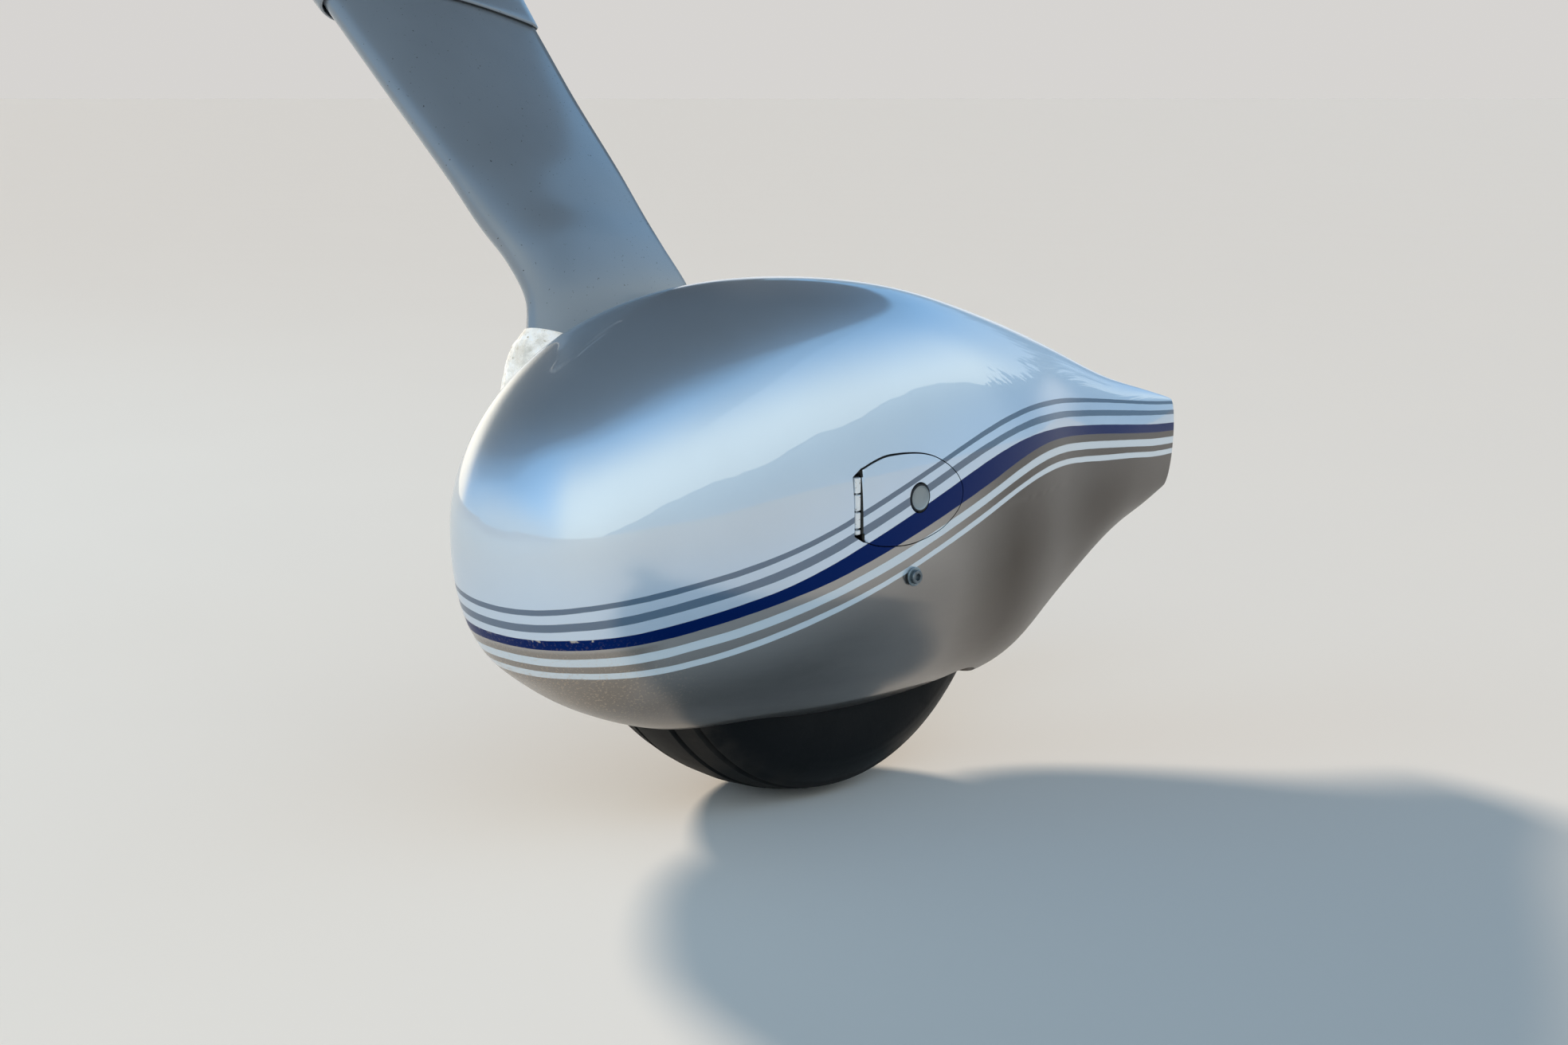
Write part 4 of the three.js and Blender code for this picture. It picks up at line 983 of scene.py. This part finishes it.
def make_cuff():
    """Flared collar; rows hold height, growth off the leg and how level the ring lies."""
    outer = np.array([[418, 3.3, 0], [421, 4.6, 0], [440, 5.5, 0.1], [462, 8, 0.35], [480, 14, 0.7],
                      [492, 24, 1], [496, 34, 1]])
    inner = np.array([[496, 31, 1], [492, 21, 1], [480, 11, 0.7], [464, 5, 0.35], [446, 0.8, 0],
                      [426, 0.8, 0], [418, 2.5, 0]])
    rows = np.vstack([smooth_loop(outer, 6), smooth_loop(inner, 5)])
    rings = []
    for z, grow, level in rows:
        level = np.clip(level, 0, 1)
        rings.append(foil_ring(z, grow, 112, level, tilt=CUFF_TILT * (1 - level)))
    obj = shade(solid("root_cuff_shell", rings, [PAINT_LEG], closed_loop=True), 40)
    finish_piece(obj, "gear", "silver_paint", "root_cuff")


FILM_SHAPE = {"top": 179.5, "fall": 11.0, "low": 124.0, "flare": 6.5, "side": 6.0,
              "clear": 0.7, "thick": 0.5, "reach": 0.19, "crease": 1.6}
FILM_PROFILE = np.array([[0, 0], [0.2, 0.6], [0.42, 0.88], [1, 1]])


def make_film():
    """Creased film round the leading edge, resting on the wheel fairing."""
    f = FILM_SHAPE
    columns, rows, wave_count = 91, 26, 14
    grid = np.zeros((2, rows, columns, 3))
    rng = np.random.default_rng(7)
    waves = [(rng.uniform(0.02, 0.16), rng.uniform(-0.1, 0.1), rng.uniform(0, 6.3))
             for _ in range(wave_count)]
    for j, q in enumerate(np.linspace(-1, 1, columns)):
        top = f["top"] - f["fall"] * q * q
        flare = f["flare"] * (1 - q * q) + f["side"]
        for i, down in enumerate(np.linspace(0, 1, rows)):
            z = top - (top - f["low"]) * down
            push = f["clear"] + flare * np.interp(down, *FILM_PROFILE.T)
            at, side = leg_frame(z)
            lead, trail, thick = (float(between(LEG_SECTIONS, z, k)) for k in (1, 2, 3))
            s = f["reach"] * q * q
            half = float(aerofoil(s)) * thick
            turn = math.sin(q * math.pi / 2)
            crease = sum(math.sin(1000 * a * q + 480 * b * down + c) for a, b, c in waves)
            push += f["crease"] * crease / wave_count * min(down * 4, 1) + 0.3
            for k, extra in enumerate((0.0, f["thick"])):
                out = push + extra
                y = lead + (trail - lead) * s - out * math.cos(q * math.pi / 2)
                across = side * (math.copysign(half, q) + out * turn)
                grid[k, i, j] = at + across + np.array([0, y, 0])
    rings = [np.vstack([grid[0, :, j], grid[1, ::-1, j]]) for j in range(columns)]
    obj = solid("gap_film_sheet", rings, [FILM])
    carve(obj, spat_body("spat_tool", 0.5, 128, 120, U_END, []))
    shade(obj, 60)
    finish_piece(obj, "gear", "clear_film", "gap_film")


# wheel; a groove's rows hold the distance from its middle and the depth below the crown
GROOVE = [(-5.5, 0), (-3.3, 0), (-2.7, 0.5), (-2.0, 2.7), (-1.2, 3.1), (1.2, 3.1), (2.0, 2.7),
          (2.7, 0.5), (3.3, 0), (5.0, 0.1)]
SIDE_RINGS, RING_HEIGHT, RING_WIDTH = (153.0, 118.0, 104.0), 0.7, 0.9


def crown(x):
    return TYRE_R - 9 * (x / 54) ** 2


def tyre_profile():
    half = 73.0
    outer = [(0.0, TYRE_R)]
    for x in GROOVE_X:
        outer += [(x + d, crown(x if deep > 1 else x + d) - deep) for d, deep in GROOVE]
    shoulder = smooth_loop([(58, 173), (64, 167), (69, 158), (72, 147), (half, 134), (72.4, 122),
                            (70, 110), (66.5, 100), (60, 91.5), (55.6, 86)], 5)
    ridged = []
    for x, r in shoulder:
        lift = sum(RING_HEIGHT * math.exp(-((r - ring) / RING_WIDTH) ** 2) for ring in SIDE_RINGS)
        ridged.append((min(x + lift, half), r))
    outer += ridged + [(55.2, 81), (51.5, 76.3)]
    inner = [(42, 76.3), (44, 90), (56, 104), (64, 122), (64, 140), (59, 156), (48, 165), (30, 172),
             (0, 174.5)]
    right = outer + inner
    left = [(-x, r) for x, r in reversed(right[1:-1])]
    return right + left


def make_tyre():
    obj = shade(solid("tyre_tread", turned(tyre_profile(), 160), [RUBBER], closed_loop=True), 32)
    finish_piece(obj, "wheel", "tyre", "tyre")


# axle end
def make_axle_end():
    """Socket head with a knurled side and a chamfered rim, over a washer."""
    around, knurl_depth, key_r = 96, 0.16, 3.0
    a = 2 * np.pi * np.arange(around) / around
    knurl = np.where(np.arange(around) % 4 < 2, 0.0, -knurl_depth)
    rings = []
    profile = [(129.0, 3.9, 0), (136.5, 3.9, 0), (136.5, 5.0, 0), (136.7, 5.25, 1), (138.7, 5.3, 1),
               (139.2, 4.8, 0)]
    for x, r, knurled in profile:
        rr = r + knurl * knurled
        rings.append(np.stack([np.full(around, x), rr * np.cos(a), rr * np.sin(a)], -1))
    head = solid("axle_end_screw", rings, [GRIMY])
    corners = np.radians(np.arange(6) * 60 + 15)
    hexagon = [(key_r * math.cos(k), key_r * math.sin(k)) for k in corners]
    carve(head, prism("hex_tool", hexagon, 137.0, 142))
    shade(head, 30)
    finish_piece(head, "gear", "steel", "axle_end_bolt")
    profile = [(134.75, 4.5), (134.75, 6.9), (135.0, 7.2), (136.2, 7.2), (136.45, 6.9),
               (136.45, 4.5)]
    washer = solid("axle_end_plate", turned(profile, 64), [DULL_STEEL], closed_loop=True)
    shade(washer, 30)
    finish_piece(washer, "gear", "steel", "axle_end_washer")


make_fairing()
make_landing()
make_door()
make_latch()
make_hinge()
make_leg_fairing()
make_cuff()
make_film()
make_tyre()
make_axle_end()

# finishes of the remaining nodes
NODE_FINISH = {
    "root_fitting": STEEL, "leg_strut": STRUT_SKIN, "axle_fitting": ALLOY, "axle": STEEL,
    "fairing_standoff": ALLOY, "caliper": ALLOY, "pad_outer": LINING, "pad_inner": LINING,
    "brake_line": HOSE, "fairing_bracket": ALLOY, "hinge_pin": STEEL, "rim_outer": ALLOY,
    "rim_inner": ALLOY, "valve_stem": HOSE, "brake_disc": IRON,
}
SOFTEN = {"root_fitting": 1.0, "axle_fitting": 0.6, "caliper": 1.2, "pad_outer": 0.6,
          "pad_inner": 0.6, "fairing_bracket": 0.6}
SOFTEN_REST = 0.3
for name, node in nodes.items():
    if node.hide_render:
        continue
    node.data.materials.clear()
    node.data.materials.append(NODE_FINISH.get(name, ZINC))
    node.data.shade_smooth()
    weld = node.modifiers.new("weld", "WELD")
    weld.merge_threshold = 1e-6
    mod = node.modifiers.new("soften", "BEVEL")
    mod.width, mod.segments = SOFTEN.get(name, SOFTEN_REST) * MM, 2
    mod.limit_method, mod.angle_limit = "ANGLE", math.radians(32)
    mod.harden_normals = True


# floor and light
FLOOR_HALF = 400.0


def make_floor():
    mesh = bpy.data.meshes.new("floor")
    signs = ((-1, -1), (1, -1), (1, 1), (-1, 1))
    mesh.from_pydata([(x * FLOOR_HALF, y * FLOOR_HALF, FLOOR_Z) for x, y in signs], [], [(0, 1, 2, 3)])
    floor = link(bpy.data.objects.new("floor", mesh))
    f = Finish("floor_pale", (0.79, 0.757, 0.72), 0.8, Specular_IOR_Level=0.1)
    f.put("Roughness", f.span(f.noise(3.0, 3.0), 0.3, 0.7, 0.7, 0.8))
    mesh.materials.append(f.material)


# sines of the bright surround's upper edge, of a faint step below it and of the skyline, by azimuth
SKY_EDGE = [
    (-180, 0.20), (-172, 0.30), (-166, 0.39), (-159, 0.47), (-150, 0.55), (-139, 0.63), (-120, 0.73),
    (-99, 0.80), (-79, 0.84), (-60, 0.87), (-30, 0.875), (0, 0.86), (30, 0.81), (50, 0.74), (70, 0.61),
    (85, 0.45), (97, 0.30), (108, 0.22), (120, 0.17), (150, 0.12), (180, 0.10),
]
STEP_EDGE = [
    (-180, 0.2), (-159, 0.47), (-139, 0.61), (-120, 0.68), (-99, 0.70), (-79, 0.655), (-65, 0.63),
    (-34, 0.56), (180, 0.5),
]
SKYLINE = [
    (-180, 0.20), (-150, 0.20), (-140, 0.185), (-131, 0.225), (-125, 0.225), (-120, 0.274),
    (-113, 0.325), (-100, 0.345), (-91, 0.30), (-80, 0.27), (-70, 0.208), (-52, 0.21), (-35, 0.15),
    (-20, 0.056), (-10, 0.015), (20, -0.1), (180, -0.1),
]
SKY = {
    "edge": (0.29, 0.58, 0.95), "deep": (1.00, 1.12, 1.14), "deep left": (0.47, 0.80, 1.18),
    "deep right": (0.60, 0.78, 0.95), "step": (0.2, 0.35, 0.5), "hills": (0.48, 0.62, 0.74),
    "grove": (0.28, 0.42, 0.56), "overhead": (0.068, 0.080, 0.096), "low left": (0.74, 0.88, 0.97),
    "haze": (0.95, 1.0, 1.04), "glow": (1.7, 1.55, 1.3), "backdrop": (0.675, 0.659, 0.642),
}
GLOW_AZIMUTH = 143


def make_world():
    """Studio surround: a bright backdrop with a soft upper edge, slate overhead, a warm glow at left."""
    world = bpy.data.worlds.new("studio")
    bpy.context.scene.world = world
    world.use_nodes = True
    g = Graph(world.node_tree, "Generated")
    x, y, z = g.split(g.coords)
    toward = g.add(g.mul(x, math.sin(AZIMUTH)), g.mul(y, -math.cos(AZIMUTH)))
    left = g.add(g.mul(x, -math.cos(AZIMUTH)), g.mul(y, -math.sin(AZIMUTH)))
    turn = g.math("MULTIPLY_ADD", g.math("ARCTAN2", left, toward), 0.5 / math.pi, 0.5)

    def sector(start, end, *ends):
        return g.span(turn, 0.5 + start / 360, 0.5 + end / 360, *ends)

    rise = g.less(z, g.by_turn(turn, SKY_EDGE))
    softness = sector(-120, -75, 0.012, 0.07)
    bright = g.math("MULTIPLY_ADD", g.math("DIVIDE", rise, softness), -0.5, 0.5, clamp=True)
    leftward = g.mul(sector(35, 80), sector(115, 95))
    deep = g.mix(leftward, SKY["deep"], SKY["deep left"])
    deep = g.mix(sector(-125, -145), deep, SKY["deep right"])
    sky = g.mix(g.span(rise, -0.42, 0.0), deep, SKY["edge"])
    below_step = g.span(g.less(z, g.by_turn(turn, STEP_EDGE)), 0.0, 0.006)
    sky = g.mix(g.mul(g.mul(below_step, sector(-40, -70)), 0.3), sky, SKY["step"])
    hills = g.mul(g.less(g.noise(9.0, 6.0, vector=g.stretch((1, 1, 0))), 0.5), 0.05)
    crowns = g.less(g.noise(60.0, 2.0, vector=g.stretch((1, 1, 0.15))), 0.45)
    trees = g.mul(crowns, sector(-122, -130, 0.0, 0.22))
    skyline = g.add(g.by_turn(turn, SKYLINE), g.add(hills, trees))
    under = g.span(g.less(z, skyline), -0.003, 0.003, 1.0, 0.0)
    sky = g.mix(under, sky, g.mix(sector(-118, -132), SKY["hills"], SKY["grove"]))
    colour = g.mix(bright, SKY["overhead"], sky)
    colour = g.mix(g.mul(leftward, g.span(z, 0.26, 0.02)), colour, SKY["low left"])
    haze = g.mul(g.span(toward, -0.6, -0.9), g.span(z, 0.16, 0.08))
    colour = g.mix(haze, colour, SKY["haze"])
    glow = math.radians(GLOW_AZIMUTH)
    near = g.add(g.mul(toward, math.cos(glow)), g.mul(left, math.sin(glow)))
    lobe = g.mul(g.span(near, 0.90, 0.98), g.span(z, 0.42, 0.12))
    colour = g.mix(lobe, colour, SKY["glow"])
    seen = g.node("ShaderNodeLightPath").outputs["Is Camera Ray"]
    background = g.tree.nodes["Background"]
    g.feed(background.inputs[0], g.mix(seen, colour, SKY["backdrop"]))
    background.inputs[1].default_value = 1.0


def level_from_camera(azimuth):
    """Level direction away from the part; azimuth is from the camera's side, leftwards."""
    a = math.radians(azimuth)
    back = Vector((math.sin(AZIMUTH), -math.cos(AZIMUTH), 0))
    side = Vector((-math.cos(AZIMUTH), -math.sin(AZIMUTH), 0))
    return back * math.cos(a) + side * math.sin(a)


def sun_light(name, azimuth, elevation, power, spread, colour):
    data = bpy.data.lights.new(name, "SUN")
    data.energy, data.angle, data.color = power, math.radians(spread), colour
    e = math.radians(elevation)
    place = level_from_camera(azimuth) * math.cos(e) + Vector((0, 0, math.sin(e)))
    light = link(bpy.data.objects.new(name, data))
    light.matrix_world = place.to_track_quat("Z", "Y").to_matrix().to_4x4()
    light.visible_glossy = False


def fill_light(azimuth, distance, height, size, power, colour):
    """Soft light hung over the floor and pointing down."""
    data = bpy.data.lights.new("fill", "AREA")
    data.shape, data.size, data.energy, data.color = "DISK", size, power, colour
    light = link(bpy.data.objects.new("fill", data))
    centre = Vector((HUB[0] * MM, HUB[1] * MM, FLOOR_Z + height))
    light.location = centre + level_from_camera(azimuth) * distance
    light.visible_glossy = False
    light.visible_camera = False


make_floor()
make_world()
fill_light(97, 3.2, 2.2, 4.0, 26.0, (0.50, 0.82, 1.0))
sun_light("key", 152, 26, 4.0, 8, (1.0, 0.86, 0.70))
bpy.context.scene.view_settings.view_transform = "Standard"
